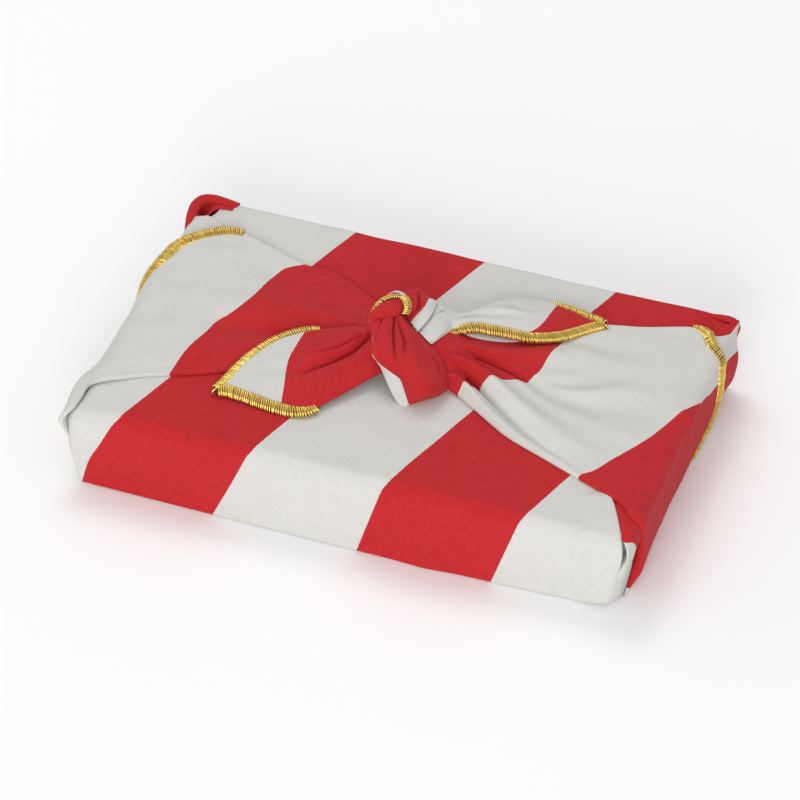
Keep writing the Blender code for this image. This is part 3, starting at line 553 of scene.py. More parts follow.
# The front right corner is rounded and drawn in at its foot, and hollow behind the fold above it.
FRONT_RIGHT_PULLS = [Pull(121, -76, 0, -0.8, 0.2, 0, 17)]
SLOT_PULL = [Pull(118.5, -73, 30.5, -4.5, 4.5, -0.5, 8)]
POCKET_PULL = [Pull(-117.6, 67, 37, 1, -0.5, -9, 7)]
# What shows inside the pocket: a net like those of the knot.
POCKET_LINING = [
    [(-120, 57, 34), (-120.3, 63, 35.2), (-120.2, 69, 35.6), (-118.4, 72.6, 35.8),
     (-113, 73.6, 35.8), (-105, 73.2, 35.8)],
    [(-119.4, 59, 34.5), (-119.4, 63.5, 33.4), (-119.2, 67.6, 32), (-118, 70.6, 33),
     (-113.5, 72.4, 36), (-105, 72.6, 37)],
    [(-117.6, 60.4, 36.6), (-116.8, 63.6, 35), (-116.2, 66.6, 33), (-115.6, 69, 34.6),
     (-112.6, 70.6, 37.4), (-105, 71, 37.7)],
    [(-116, 59, 37.4), (-114.6, 61.6, 37.6), (-113.4, 64, 37.6), (-112.4, 66.6, 37.8),
     (-110.4, 68.6, 37.9), (-105, 69.4, 37.9)],
]


# --- colours and shader effects ---

RED = (0.610, 0.029, 0.033, 1)
RED_SHADE = (0.33, 0.008, 0.012, 1)
OFF_WHITE = (0.685, 0.678, 0.652, 1)
OFF_WHITE_SHADE = (0.53, 0.515, 0.48, 1)
GOLD = (1.0, 0.755, 0.21, 1)
# The darkest gold: a share of it gives the stitches their random darker tone, and all of it is the
# painted shade of the core that shows in the gaps between the stitches.
GOLD_DARK_AND_GAP_SHADE = (0.17, 0.07, 0.01, 1)
# In metres of cloth or thread.
COTTON_THREAD = 0.00042
STRIPE_SOFTNESS = 0.00015
STRIPE_WAVER = 0.0006
COTTON_RELIEF = 0.00016
GOLD_RELIEF = 0.00008
PLY_PITCH, PLY_TURNS = 5200.0, 12.57  # the gold's plies along a thread and round it, in radians
# How fine the noises are, for each metre: the cloth's fuzz, its threads' thick and thin places
# across and along them, the wavering of a stripe's edge, the dye's patches and the gold's specks.
FUZZ, SLUBS_ACROSS, SLUBS_ALONG = 1600, 1400, 90
WAVERING, DYE_PATCHES, SPECKS = 900, 28.0, (1500, 3, 1)


def feed(tree, sockets, values):
    """Gives sockets, by name or number, their plain values, or links what feeds them."""
    for key, value in values.items():
        if isinstance(value, bpy.types.NodeSocket):
            tree.links.new(value, sockets[key])
        else:
            sockets[key].default_value = value


def node(tree, kind, values=None, **settings):
    """A new shader node with its settings and inputs: what it puts out."""
    made = tree.nodes.new("ShaderNode" + kind)
    for setting, value in settings.items():
        setattr(made, setting, value)
    feed(tree, made.inputs, values or {})
    return made.outputs


def math_node(tree, operation, *values, clamp=False):
    return node(tree, "Math", dict(enumerate(values)), operation=operation, use_clamp=clamp)[0]


def noise_node(tree, vector, scale, detail=2.0):
    return node(tree, "TexNoise", {"Vector": vector, "Scale": scale, "Detail": detail})["Fac"]


def stretched(tree, vector, scale):
    return node(tree, "Mapping", {"Vector": vector, "Scale": scale})["Vector"]


def mixed(tree, factor, first, second):
    return node(tree, "Mix", {0: factor, 6: first, 7: second}, data_type="RGBA")[2]


def bumped(tree, height, strength, distance):
    values = {"Height": height, "Strength": strength, "Distance": distance}
    return node(tree, "Bump", values)["Normal"]


def new_group(name, numbers, outputs):
    """A shader node group that takes a place and some numbers: its tree, what it is given, and
    the sockets of its results."""
    tree = bpy.data.node_groups.new(name, "ShaderNodeTree")
    tree.interface.new_socket(name="Vector", in_out="INPUT", socket_type="NodeSocketVector")
    for socket, value in numbers.items():
        made = tree.interface.new_socket(name=socket, in_out="INPUT", socket_type="NodeSocketFloat")
        made.default_value = value
    for socket in outputs:
        tree.interface.new_socket(name=socket, in_out="OUTPUT", socket_type="NodeSocketFloat")
    given = tree.nodes.new("NodeGroupInput")
    result = tree.nodes.new("NodeGroupOutput")
    return tree, given.outputs, result.inputs


def stripe_group():
    """Wide stripes across U, their edges a little uneven, as threads are."""
    tree, given, result = new_group(
        "stripes", {"Width": STRIPE * MM, "Softness": STRIPE_SOFTNESS}, ["Mask"]
    )
    across = node(tree, "SeparateXYZ", {0: given["Vector"]})[0]
    uneven = noise_node(tree, stretched(tree, given["Vector"], (1, 1, 0)), WAVERING)
    waver = math_node(tree, "SUBTRACT", uneven, 0.5)
    place = math_node(tree, "MULTIPLY_ADD", waver, STRIPE_WAVER, across)
    turn = math_node(tree, "MULTIPLY", math_node(tree, "DIVIDE", place, given["Width"]), math.pi)
    steep = math_node(tree, "DIVIDE", given["Width"], math.pi)
    steep = math_node(tree, "DIVIDE", steep, given["Softness"])
    wave = math_node(tree, "SINE", turn)
    feed(tree, result, {"Mask": math_node(tree, "MULTIPLY_ADD", wave, steep, 0.5, clamp=True)})
    return tree


def weave_group():
    """A plain weave: threads over and under each other, with thick and thin places along them."""
    tree, given, result = new_group("plain_weave", {"Thread": COTTON_THREAD}, ["Height", "Tone"])
    vector = given["Vector"]
    places = node(tree, "SeparateXYZ", {0: vector})
    waves = []
    for axis in (0, 1):
        turn = math_node(tree, "DIVIDE", places[axis], given["Thread"])
        waves.append(math_node(tree, "SINE", math_node(tree, "MULTIPLY", turn, math.pi)))
    over_under = math_node(tree, "MULTIPLY", *waves)
    warp = noise_node(tree, stretched(tree, vector, (SLUBS_ACROSS, SLUBS_ALONG, 0)), 1.0, 1.0)
    weft = noise_node(tree, stretched(tree, vector, (SLUBS_ALONG, SLUBS_ACROSS, 0)), 1.0, 1.0)
    fuzz = noise_node(tree, vector, FUZZ)
    slubs = math_node(tree, "ADD", warp, weft)
    height = math_node(tree, "MULTIPLY_ADD", over_under, 0.3, slubs)
    height = math_node(tree, "MULTIPLY_ADD", fuzz, 0.6, height)
    tone = math_node(tree, "MULTIPLY_ADD", math_node(tree, "ADD", slubs, fuzz), 0.5, -0.25)
    feed(tree, result, {"Height": height, "Tone": tone})
    return tree


def dye_group():
    """Broad, faint unevenness of a dyed and washed cloth, as a factor round one half."""
    tree, given, result = new_group("uneven_dye", {"Scale": DYE_PATCHES}, ["Patches"])
    feed(tree, result, {"Patches": noise_node(tree, given["Vector"], given["Scale"], 3.0)})
    return tree


def plies_group():
    """A metallic thread: fine plies wound round it, with a tone of its own for each stitch."""
    tree, given, result = new_group("gold_plies", {"Tone": 0.5}, ["Height", "Shade", "Glint"])
    place = node(tree, "SeparateXYZ", {0: given["Vector"]})
    turned = math_node(tree, "MULTIPLY", place[1], PLY_TURNS)
    ply = math_node(tree, "SINE", math_node(tree, "MULTIPLY_ADD", place[0], PLY_PITCH, turned))
    specks = noise_node(tree, stretched(tree, given["Vector"], SPECKS), 1.0)
    uneven = math_node(tree, "MULTIPLY_ADD", specks, 0.7, 0.55)
    feed(tree, result, {
        "Height": math_node(tree, "MULTIPLY_ADD", specks, 0.5, ply),
        "Shade": math_node(tree, "MULTIPLY", given["Tone"], uneven, clamp=True),
        "Glint": specks,
    })
    return tree


def new_material(name):
    material = bpy.data.materials.new(name)
    material.use_nodes = True
    return material, material.node_tree, material.node_tree.nodes["Principled BSDF"].inputs


def cotton_material():
    material, tree, shader = new_material("striped_cotton")
    cloth_place = node(tree, "UVMap", uv_map="cloth")["UV"]
    place = node(tree, "TexCoord")["Object"]
    stripe = node(tree, "Group", {"Vector": cloth_place}, node_tree=stripe_group())["Mask"]
    threads = node(tree, "Group", {"Vector": cloth_place}, node_tree=weave_group())
    patches = node(tree, "Group", {"Vector": place}, node_tree=dye_group())["Patches"]
    plain = mixed(tree, stripe, OFF_WHITE, RED)
    dark = mixed(tree, stripe, OFF_WHITE_SHADE, RED_SHADE)
    share = math_node(tree, "MULTIPLY_ADD", threads["Tone"], 1.1, -0.12, clamp=True)
    patch = math_node(tree, "MULTIPLY_ADD", patches, 0.30, -0.06, clamp=True)
    feed(tree, shader, {
        "Base Color": mixed(tree, patch, mixed(tree, share, plain, dark), dark),
        "Roughness": math_node(tree, "MULTIPLY_ADD", threads["Tone"], 0.12, 0.84),
        "Specular IOR Level": 0.12,
        "Sheen Weight": 0.04,
        "Sheen Roughness": 0.6,
        "Normal": bumped(tree, threads["Height"], 0.55, COTTON_RELIEF),
    })
    return material


def gold_material():
    material, tree, shader = new_material("gold_thread")
    along = node(tree, "UVMap", uv_map="thread")["UV"]
    # The stitches' own tones, and none on the core, so that the core takes the darkest gold: painted
    # shade in the gaps between the stitches.
    tone = node(tree, "Attribute", attribute_name="stitch_tone_and_gap_shade")["Fac"]
    thread = node(tree, "Group", {"Vector": along, "Tone": tone}, node_tree=plies_group())
    feed(tree, shader, {
        "Base Color": mixed(tree, thread["Shade"], GOLD_DARK_AND_GAP_SHADE, GOLD),
        "Roughness": math_node(tree, "MULTIPLY_ADD", thread["Glint"], 0.30, 0.12),
        "Metallic": 0.9,
        "Normal": bumped(tree, thread["Height"], 0.4, GOLD_RELIEF),
    })
    return material


# --- making sheets ---


def smooth_rows(table, steps):
    """The table's rows with smooth ones between them: their row numbers and their values."""
    values = np.array(table, float)
    last = len(values) - 1
    number = np.linspace(0, last, last * steps + 1)
    start = np.minimum(number.astype(int), last - 1)
    t = (number - start).reshape((-1,) + (1,) * (values.ndim - 1))
    p, q, r, s = (values[np.clip(start + k, 0, last)] for k in (-1, 0, 1, 2))
    bend = 2 * p - 5 * q + 4 * r - s + t * (3 * (q - r) + s - p)
    return number, q + 0.5 * t * (r - p + t * bend)


def smooth_net(net, down, along):
    """A net of points filled in smoothly both ways."""
    _, rows = smooth_rows(net, down)
    _, columns = smooth_rows(rows.transpose(1, 0, 2), along)
    return columns.transpose(1, 0, 2)


def net_normals(points, toward):
    out = np.cross(np.gradient(points, axis=0), np.gradient(points, axis=1))
    out /= np.maximum(np.linalg.norm(out, axis=2, keepdims=True), 1e-9)
    return out if (out @ np.array(toward, float)).sum() > 0 else -out


def ramp(value, start, run):
    """Nothing up to the start, growing evenly to one over the run."""
    return np.clip((value - start) / run, 0, 1)


def bump_shape(distance, half, sharp=False):
    """One at no distance, down to nothing at the half width: rounded, or pointed like a crease."""
    share = np.clip(np.abs(distance) / half, 0, 1)
    return (1 - share) ** 2 if sharp else 0.5 + 0.5 * np.cos(np.pi * share)


def beside(places, line):
    """For each stretch of a line: its ends, how each place lies from its start, how far along the
    stretch the place is, and how far off."""
    size = places.shape[-1]
    for low, high in zip(line, line[1:]):
        run = (high - low)[:size]
        away = places - low[:size]
        share = np.clip(away @ run / run.dot(run), 0, 1)
        yield low, high, away, share, np.linalg.norm(away - share[..., None] * run, axis=-1)


def fold_lift(folds, places, sharp=False):
    """How far the folds lift the cloth at places given in plan or in space."""
    size = places.shape[-1]
    height = np.zeros(places.shape[:-1])
    for fold in folds:
        nearest = np.full(height.shape, 1e9)
        lift = np.zeros_like(height)
        for low, high, _, share, distance in beside(places, smooth_rows(fold, 5)[1]):
            half = low[size] + share * (high[size] - low[size])
            rise = low[size + 1] + share * (high[size + 1] - low[size + 1])
            closer = distance < nearest
            nearest = np.where(closer, distance, nearest)
            lift = np.where(closer, rise * bump_shape(distance, half, sharp), lift)
        height += lift
    return height


def stripe_gap(places, edge):
    """Distance from a stripe's edge in plan: positive on its right as the line runs."""
    line = smooth_rows(edge, 4)[1]
    before, after = line[0] - line[1], line[-1] - line[-2]
    ends = [line[0] + EDGE_GOES_ON * before, *line, line[-1] + EDGE_GOES_ON * after]
    nearest = np.full(places.shape[:-1], 1e9)
    gap = np.zeros_like(nearest)
    for low, high, away, _, distance in beside(places, ends):
        run = high - low
        side = np.where(run[1] * away[..., 0] - run[0] * away[..., 1] > 0, 1, -1)
        closer = distance < nearest
        nearest = np.where(closer, distance, nearest)
        gap = np.where(closer, side * distance, gap)
    return gap


def waviness(x, y, seed, size, length):
    """A smooth unevenness with no direction, from a few crossing waves: size is about its height,
    and length that of a wave, in millimetres."""
    draw = np.random.default_rng(seed)
    total = np.zeros_like(x)
    for _ in range(7):
        angle, phase = draw.uniform(0, math.tau, 2)
        wave = math.tau / (length * draw.uniform(0.7, 1.6))
        total += np.sin(wave * (x * math.cos(angle) + y * math.sin(angle)) + phase)
    return size * total / 3


def hemmed(points, normals, edge, radius):
    """The sheet with one edge rolled under: edge is first or last row, or first or last column."""
    if "column" in edge:
        turned = [values.transpose(1, 0, 2) for values in (points, normals)]
        turned = hemmed(*turned, edge.replace("column", "row"), radius)
        return [values.transpose(1, 0, 2) for values in turned]
    if edge == "last row":
        turned = hemmed(points[::-1], normals[::-1], "first row", radius)
        return [values[::-1] for values in turned]
    border, up = points[0], normals[0]
    out = border - points[1]
    out -= (out * up).sum(axis=-1, keepdims=True) * up
    out /= np.maximum(np.linalg.norm(out, axis=-1, keepdims=True), 1e-9)
    rolled, facing = [], []
    for turn in np.linspace(0, math.pi, HEM_STEPS + 1)[1:]:
        rolled.append(border + radius * (math.sin(turn) * out - (1 - math.cos(turn)) * up))
        facing.append(math.cos(turn) * up + math.sin(turn) * out)
    rolled.append(rolled[-1] - HEM_RUN * out)
    facing.append(-up)
    return np.concatenate([rolled[::-1], points]), np.concatenate([facing[::-1], normals])


def arc_lengths(points, axis):
    step = np.linalg.norm(np.diff(points, axis=axis), axis=-1)
    start = np.zeros_like(np.take(step, [0], axis=axis))
    return np.concatenate([start, np.cumsum(step, axis=axis)], axis=axis)


def pulled(points, pulls):
    """The points drawn out or pushed in round a few places."""
    moved = points.copy()
    for pull in pulls:
        near = bump_shape(np.linalg.norm(points - np.array(pull[:3]), axis=-1), pull.reach)
        moved += near[..., None] * np.array([pull.out_x, pull.out_y, pull.out_z])
    return moved


def grid_quads(rows, columns, closed=False):
    """The faces of a grid of points, or of a tube whose last column joins its first."""
    across = columns if closed else columns - 1
    i, j = np.meshgrid(np.arange(rows - 1), np.arange(across), indexing="ij")
    k = (j + 1) % columns
    low, high = i * columns, (i + 1) * columns
    return np.stack([low + j, low + k, high + k, high + j], -1).reshape(-1, 4)


def tube_faces(rows, columns, starts=(0,)):
    """The faces of closed tubes of points, one from each start, with a cap at each end."""
    quads = grid_quads(rows, columns, True)
    faces = (quads + np.array(starts)[:, None, None]).reshape(-1, 4).tolist()
    for start in starts:
        end = start + rows * columns
        faces += [list(range(start, start + columns))[::-1], list(range(end - columns, end))]
    return faces


def values_of(items, name, width=1, kind=float):
    """One property of all of a mesh's points, corners or faces, as an array."""
    values = np.zeros(len(items) * width, kind)
    items.foreach_get(name, values)
    return values.reshape(-1, width) if width > 1 else values


def piece_object(name, mesh, material, uv_map, uv):
    """The mesh as an object, with its material and its UV map, given for each corner of a face."""
    mesh.uv_layers.new(name=uv_map).data.foreach_set("uv", uv.astype(np.float32).ravel())
    mesh.materials.append(material)
    obj = bpy.data.objects.new(name, mesh)
    bpy.context.scene.collection.objects.link(obj)
    return obj


def sheet_object(name, points, uv, closed=False):
    """A mesh from a grid of points, with its UV map in metres of cloth."""
    rows, columns = points.shape[:2]
    faces = tube_faces(rows, columns) if closed else grid_quads(rows, columns).tolist()
    mesh = bpy.data.meshes.new(name)
    mesh.from_pydata((points.reshape(-1, 3) * MM).tolist(), [], faces)
    corners = values_of(mesh.loops, "vertex_index", kind=np.int32)
    return piece_object(name, mesh, COTTON, "cloth", uv.reshape(-1, 2)[corners] * MM)


def finish_sheet(obj, thickness=0.0, toward=(0, 0, 1)):
    """Merges doubles, points the faces outwards, gives the cloth its thickness and smooths it."""
    bpy.ops.object.select_all(action="DESELECT")
    obj.select_set(True)
    bpy.context.view_layer.objects.active = obj
    bpy.ops.object.mode_set(mode="EDIT")
    bpy.ops.mesh.select_all(action="SELECT")
    bpy.ops.mesh.remove_doubles(threshold=1e-6)
    bpy.ops.mesh.normals_make_consistent(inside=False)
    bpy.ops.object.mode_set(mode="OBJECT")
    if toward is not None:
        facing = values_of(obj.data.polygons, "normal", 3) @ np.array(toward, float)
        if (facing * values_of(obj.data.polygons, "area")).sum() < 0:
            obj.data.flip_normals()
    if thickness:
        wall = obj.modifiers.new("Thickness", "SOLIDIFY")
        wall.thickness = thickness * MM
        wall.offset = -1
        bpy.ops.object.modifier_apply(modifier=wall.name)
    bpy.ops.object.shade_smooth()
    return obj


# --- the stripes of each piece ---


def red_past(edge):
    """Cloth coordinates across the stripes, red on the right of an edge and white on its left."""

    def across(places):
        gap = stripe_gap(places, edge)
        return np.where(gap > 0, RED_REACH * (1 - np.exp(-np.maximum(gap, 0) / RED_REACH)), gap)

    return across


def right_flap_stripes(places):
    """Red near the knot, then white, then red over the short side."""
    near = stripe_gap(places, RIGHT_FLAP_NEAR_STRIPE)
    far = stripe_gap(places, RIGHT_FLAP_FAR_STRIPE)
    knot_red = STRIPE - KNOT_RED_REACH * (1 - np.exp(np.minimum(near, 0) / KNOT_RED_REACH))
    white = STRIPE + STRIPE * near / np.maximum(near - far, 1e-6)
    side_red = 2 * STRIPE + FAR_STRETCH * far
    return np.where(near < 0, knot_red, np.where(far > 0, side_red, white))


def all_white(places):
    return WHITE_START + WHITE_DRIFT * (places[..., 1] + WHITE_FROM)


def gusset_stripes(points):
    return red_past(GUSSET_STRIPE)(points[..., 1:])


# --- the parcel's base layer ---


def spaced(length, step):
    """Places along an edge of the parcel, closer together at its ends."""
    ends = np.array(EDGE_PLACES)
    middle = np.linspace(ends[-1], length - ends[-1], int((length - 2 * ends[-1]) / step) + 1)
    return np.concatenate([ends[:-1], middle, (length - ends[:-1])[::-1]]) - length / 2


def panel():
    """The base layer: it lies round the whole parcel, with a soft bend at each edge."""
    places = [spaced(length, step) for length, step in zip((LENGTH, DEPTH, HEIGHT), GRID_STEPS)]
    grid = bmesh.new()
    bmesh.ops.create_cube(grid, size=2)
    for axis in range(3):
        along = [
            edge for edge in grid.edges
            if abs((edge.verts[0].co - edge.verts[1].co).normalized()[axis]) > 0.9
        ]
        bmesh.ops.subdivide_edges(grid, edges=along, cuts=len(places[axis]) - 2, use_grid_fill=True)
    mesh = bpy.data.meshes.new("wrapped_panel")
    grid.normal_update()
    grid.to_mesh(mesh)
    grid.free()
    sharp = values_of(mesh.vertices, "co", 3)
    for axis in range(3):
        index = np.rint((sharp[:, axis] + 1) / 2 * (len(places[axis]) - 1)).astype(int)
        sharp[:, axis] = places[axis][index]
    sharp[:, 2] += HEIGHT / 2
    corners = values_of(mesh.loops, "vertex_index", kind=np.int32)
    counts = values_of(mesh.polygons, "loop_total", kind=np.int32)
    facing = np.repeat(values_of(mesh.polygons, "normal", 3), counts, axis=0)
    uv = unrolled_uv(sharp[corners], facing) * MM
    mesh.vertices.foreach_set("co", (panel_point(sharp) * MM).ravel())
    return finish_sheet(piece_object("wrapped_panel", mesh, COTTON, "cloth", uv), THICKNESS, None)


def unrolled_uv(at, facing):
    """Cloth coordinates of the base layer: its stripes run over the top, front and back, and its
    short sides are folded from a white one."""
    x, y, drop = at[:, 0], at[:, 1], HEIGHT - at[:, 2]
    front = facing[:, 1] < -0.5
    y = np.where(front, -DEPTH / 2 - drop, y)
    y = np.where(facing[:, 1] > 0.5, DEPTH / 2 + drop, y)
    y = np.where(facing[:, 2] < -0.5, -DEPTH - HEIGHT - at[:, 1], y)
    stray = np.interp(x, *zip(*FOOT_STRAY)) * np.where(front, drop / HEIGHT, 0)
    across = x - stray - STRIPE_SLOPE * y - STRIPE_START
    uv = np.stack([across, y + STRIPE_SLOPE * x], -1) / math.hypot(1, STRIPE_SLOPE)
    short_side = np.abs(facing[:, 0]) > 0.5
    uv[short_side] = np.stack([SIDE_START - drop, at[:, 1]], -1)[short_side]
    return uv


def panel_point(sharp):
    """Where a point of the sharp-edged box lies on the wrapped parcel."""
    up = np.clip(sharp[:, 2] / HEIGHT, 0, 1)
    up = up * up * (3 - 2 * up)
    top_radius = np.interp(sharp[:, 1], *zip(*TOP_RADIUS))
    radius = FOOT_RADIUS + (top_radius - FOOT_RADIUS) * up
    corner = ramp(sharp[:, 0], CORNER_FROM[0], CORNER_GROWS_OVER[0])
    corner = corner * ramp(-sharp[:, 1], CORNER_FROM[1], CORNER_GROWS_OVER[1])
    radius = np.maximum(radius, CORNER_RADIUS * corner)[:, None]
    half = np.array([LENGTH, DEPTH, HEIGHT]) / 2
    middle = np.array([0, 0, HEIGHT / 2])
    inner = np.clip(sharp - middle, radius - half, half - radius)
    out = sharp - middle - inner
    length = np.linalg.norm(out, axis=1, keepdims=True)
    beyond = (length > 1e-6)[:, 0]
    point = sharp.copy()
    point[beyond] = (inner + middle + out / np.maximum(length, 1e-6) * radius)[beyond]
    x, y, z = point.T.copy()
    side_x, side_y = np.sign(x), np.sign(y)
    inset = np.where(x < 0, FOOT_INSET[-1], FOOT_INSET[1]) * (1 - z / HEIGHT)
    point[:, 0] -= side_x * inset * ramp(np.abs(x), LENGTH / 2 - INSET_RUN, INSET_RUN) ** 2
    near = ramp(np.abs(x), LENGTH / 2 - EAR_RUN, EAR_RUN)
    near = near * ramp(np.abs(y), DEPTH / 2 - EAR_RUN, EAR_RUN) * z / HEIGHT
    for ear in EARS:
        here = (side_x == ear.side_x) & (side_y == ear.side_y)
        point[:, 0] += here * ear.side_x * ear.out_x * near
        point[:, 1] += here * ear.side_y * ear.out_y * near
    crown = CROWN * np.cos(np.pi * np.clip(x / LENGTH, -0.5, 0.5)) * np.cos(np.pi * y / DEPTH)
    ripple = waviness(x + 0.6 * z, y - 0.5 * z, 3, 0.20, 40) + waviness(x, y, 4, 0.10, 22)
    point[:, 2] += ramp(z, HEIGHT - EDGE_RADIUS, EDGE_RADIUS) * (crown + ripple)
    outer = ramp(np.abs(y), DEPTH / 2 - FACE_DEPTH, FACE_DEPTH)
    ripple = waviness(x, z * 1.5, 5, 0.30, 46) + waviness(x, z * 1.2, 6, 0.16, 21)
    point[:, 1] += side_y * outer * np.clip(z / FACE_FOOT, 0, 1) * ripple
    point[:, 1] -= (side_y < 0) * np.interp(x, *zip(*FRONT_LEAN)) * outer * (1 - z / HEIGHT)
    point[:, 1] += (side_y > 0) * np.interp(x, *zip(*BACK_LEAN)) * outer * z / HEIGHT
    return pulled(point, EAR_PULLS + POCKET_PULL + FRONT_RIGHT_PULLS + SLOT_PULL)


# --- the flaps ---


def over_edge(side, inward, y, height):
    """Points over the parcel's short side or top, with inward measured round the edge's bend."""
    bend = math.pi / 4 * EDGE_RADIUS
    angle = inward / EDGE_RADIUS + math.pi / 4
    z = np.where(
        inward < -bend,
        HEIGHT - EDGE_RADIUS + inward + bend,
        HEIGHT - EDGE_RADIUS + (EDGE_RADIUS + height) * np.sin(angle),
    )
    z = np.where(inward > bend, HEIGHT + height, z)
    draw_in = FOOT_INSET[side] * (1 - np.clip(z, 0, HEIGHT) / HEIGHT)
    x = np.where(
        inward < -bend,
        LENGTH / 2 - draw_in + height,
        LENGTH / 2 - EDGE_RADIUS + (EDGE_RADIUS + height) * np.cos(angle),
    )
    x = np.where(inward > bend, LENGTH / 2 - EDGE_RADIUS - (inward - bend), x)
    return np.stack([side * x, y, z], -1)


def curled(width, lift_first, lift_second, steps):
    """Places across a sheet whose two edges turn under: how far across in millimetres, and the drop
    below the top there."""
    turn = math.pi * np.linspace(0, 1, HEM_STEPS)[1:]
    first, second = lift_first / 2, lift_second / 2
    across = [
        [first + HEM_TURN], first - first * np.sin(turn[::-1]),
        np.linspace(first, width - second, steps),
        width - second + second * np.sin(turn), [width - second - HEM_TURN],
    ]
    drop = [
        [2 * first], first * (1 - np.cos(turn[::-1])), np.zeros(steps),
        second * (1 - np.cos(turn)), [2 * second],
    ]
    return np.concatenate(across), np.concatenate(drop)


def flap(name, side, table, stripes, seed, folds=(), creases=(), pulls=(), steps=8, columns=150):
    """A flap of cloth drawn over the parcel, its two long edges folded under."""
    sections = []
    for front_in, front_y, back_in, back_y, front, mid, back in smooth_rows(table, steps)[1]:
        width = math.hypot(back_in - front_in, back_y - front_y)
        across, drop = curled(width, LAYER + front, LAYER + back, columns)
        share = across / width
        inward = front_in + share * (back_in - front_in)
        y = front_y + share * (back_y - front_y)
        at_edge = np.where(share < 0.5, front, back)
        height = LAYER + at_edge + (mid - at_edge) * np.sin(math.pi * np.clip(share, 0, 1))
        inside = np.clip(np.minimum(across, width - across) / FLAP_EDGE_CALM, 0, 1)
        foot = np.clip((inward.mean() + FOOT_HUG_TO) / FOOT_HUG_RUN, FOOT_HUG, 1)
        sections.append((inward, y, height, drop, inside, np.full(len(across), foot)))
    inward, y, height, drop, inside, foot = np.array(sections).transpose(1, 0, 2)
    x = side * (LENGTH / 2 - inward)
    places = np.stack([x, y], -1)
    on_top = np.where(drop > 0, 0, 1)
    height = height + (fold_lift(folds, places) + fold_lift(creases, places, sharp=True)) * on_top
    uneven = waviness(x, y, seed, 0.17, 24) + waviness(x, y, seed + 50, 0.07, 11)
    height = np.maximum(height + uneven * inside * on_top, LOWEST_FLAP) - drop
    points = pulled(over_edge(side, inward, y, np.maximum(height, LOWEST_HEM) * foot), pulls)
    uv = np.stack([stripes(places), arc_lengths(points, 1)], -1)
    return finish_sheet(sheet_object(name, points, uv))


# --- strands, tails and folds of the knot ---


def drape_frames(table, steps):
    """The sections of a strand or a tail: their two edges, the way out, and their other columns."""
    rows = smooth_rows(table, steps)[1]
    first, second = rows[:, 0:3], rows[:, 3:6]
    run = np.gradient(first + second, axis=0)
    out = np.cross(run, second - first)
    out /= np.linalg.norm(out, axis=1, keepdims=True)
    return first, second, out, rows[:, 6:]


def strand(name, table, u_start):
    """A filled strand of gathered cloth: an arched top over a narrower underside."""
    first, second, out, rest = drape_frames(table, 8)
    arch, below = rest.T
    start, reach, out = first[:, None], (second - first)[:, None], out[:, None]
    across = np.linspace(0, 1, STRAND_COLUMNS)
    rise = arch[:, None] * np.sin(np.pi * across).clip(0) ** FULLNESS
    top = start + across[:, None] * reach + out * rise[..., None]
    back = np.linspace(*STRAND_UNDERSIDE, STRAND_COLUMNS // 3)
    back = back + (0.5 - back) * UNDERCUT
    under = start + back[:, None] * reach - out * below[:, None, None]
    points = np.concatenate([top, under], axis=1)
    u = arc_lengths(points, 1) + u_start
    u = np.where(np.arange(points.shape[1]) < STRAND_COLUMNS, u, u_start + 1)
    uv = np.stack([u, arc_lengths(points, 0)], -1)
    return finish_sheet(sheet_object(name, points, uv, closed=True), 0, None)


def tail(name, table, tip, stripes, seed, folds, creases):
    """A free end of the cloth: a thin sheet with its edges turned under, drawn to its tip."""
    x, y, z = tip
    rows = [*table, (x, y, z, x + TIP_WIDTH, y + TIP_WIDTH, z, 0)]
    first, second, out, rest = drape_frames(rows, 9)
    points = []
    for start, end, up, arch in zip(first, second, out, rest[:, 0]):
        width = float(np.linalg.norm(end - start))
        lift = min(TAIL_LIFT, width * 0.4)
        across, drop = curled(width, lift, lift, TAIL_COLUMNS)
        on_top = np.where(drop > 0, 0, 1)
        share = np.where(drop > 0, np.clip(across, 0, width), across) / width
        flat = start + share[:, None] * (end - start)
        plan = flat[:, :2]
        rise = arch * np.sin(np.pi * np.clip(share, 0, 1)) ** FULLNESS
        rise = rise + on_top * (fold_lift(folds, plan) + fold_lift(creases, plan, sharp=True))
        rise = rise + on_top * waviness(*plan.T, seed, 0.12, 13)
        points.append(flat + up * (rise - drop)[:, None])
    points = np.array(points)
    uv = np.stack([stripes(points[..., :2]), arc_lengths(points, 1)], -1)
    return finish_sheet(sheet_object(name, points, uv))


def net_sheet(name, net, u_start=0, toward=(0, 0, 1), folds=(), creases=(), hems=(),
              stripes=None, fill=(8, 8), pulls=()):
    """A fold of cloth over a net of points, with its creases and its rolled edges."""
    points = pulled(smooth_net(net, *fill), pulls)
    lift = fold_lift(folds, points) + fold_lift(creases, points, sharp=True)
    lift += waviness(points[..., 0] + points[..., 2], points[..., 1], 1, 0.08, 7)
    points = points + net_normals(points, toward) * lift[..., None]
    normals = net_normals(points, toward)
    for edge, radius in hems:
        points, normals = hemmed(points, normals, edge, radius)
    u = stripes(points) if stripes else u_start + arc_lengths(points, 1)
    uv = np.stack([u, arc_lengths(points, 0)], -1)
    return finish_sheet(sheet_object(name, points, uv), FOLD_THICKNESS, toward)


# --- the edging ---


def resampled(points, faces):
    """A line in steps of one stitch, the way that its face looks at each, and how far along."""
    length = arc_lengths(points, 0)
    at = np.linspace(0, length[-1], int(length[-1] / STITCH_PITCH) + 1)
    line, face = (
        np.stack([np.interp(at, length, column) for column in values.T], -1)
        for values in (points, faces)
    )
    return line, face / np.linalg.norm(face, axis=1, keepdims=True), at


def frames_along(line, face):
    run = np.gradient(line, axis=0)
    run /= np.linalg.norm(run, axis=1, keepdims=True)
    wide = np.cross(run, face)
    wide /= np.linalg.norm(wide, axis=1, keepdims=True)
    return run, wide, np.cross(wide, run)


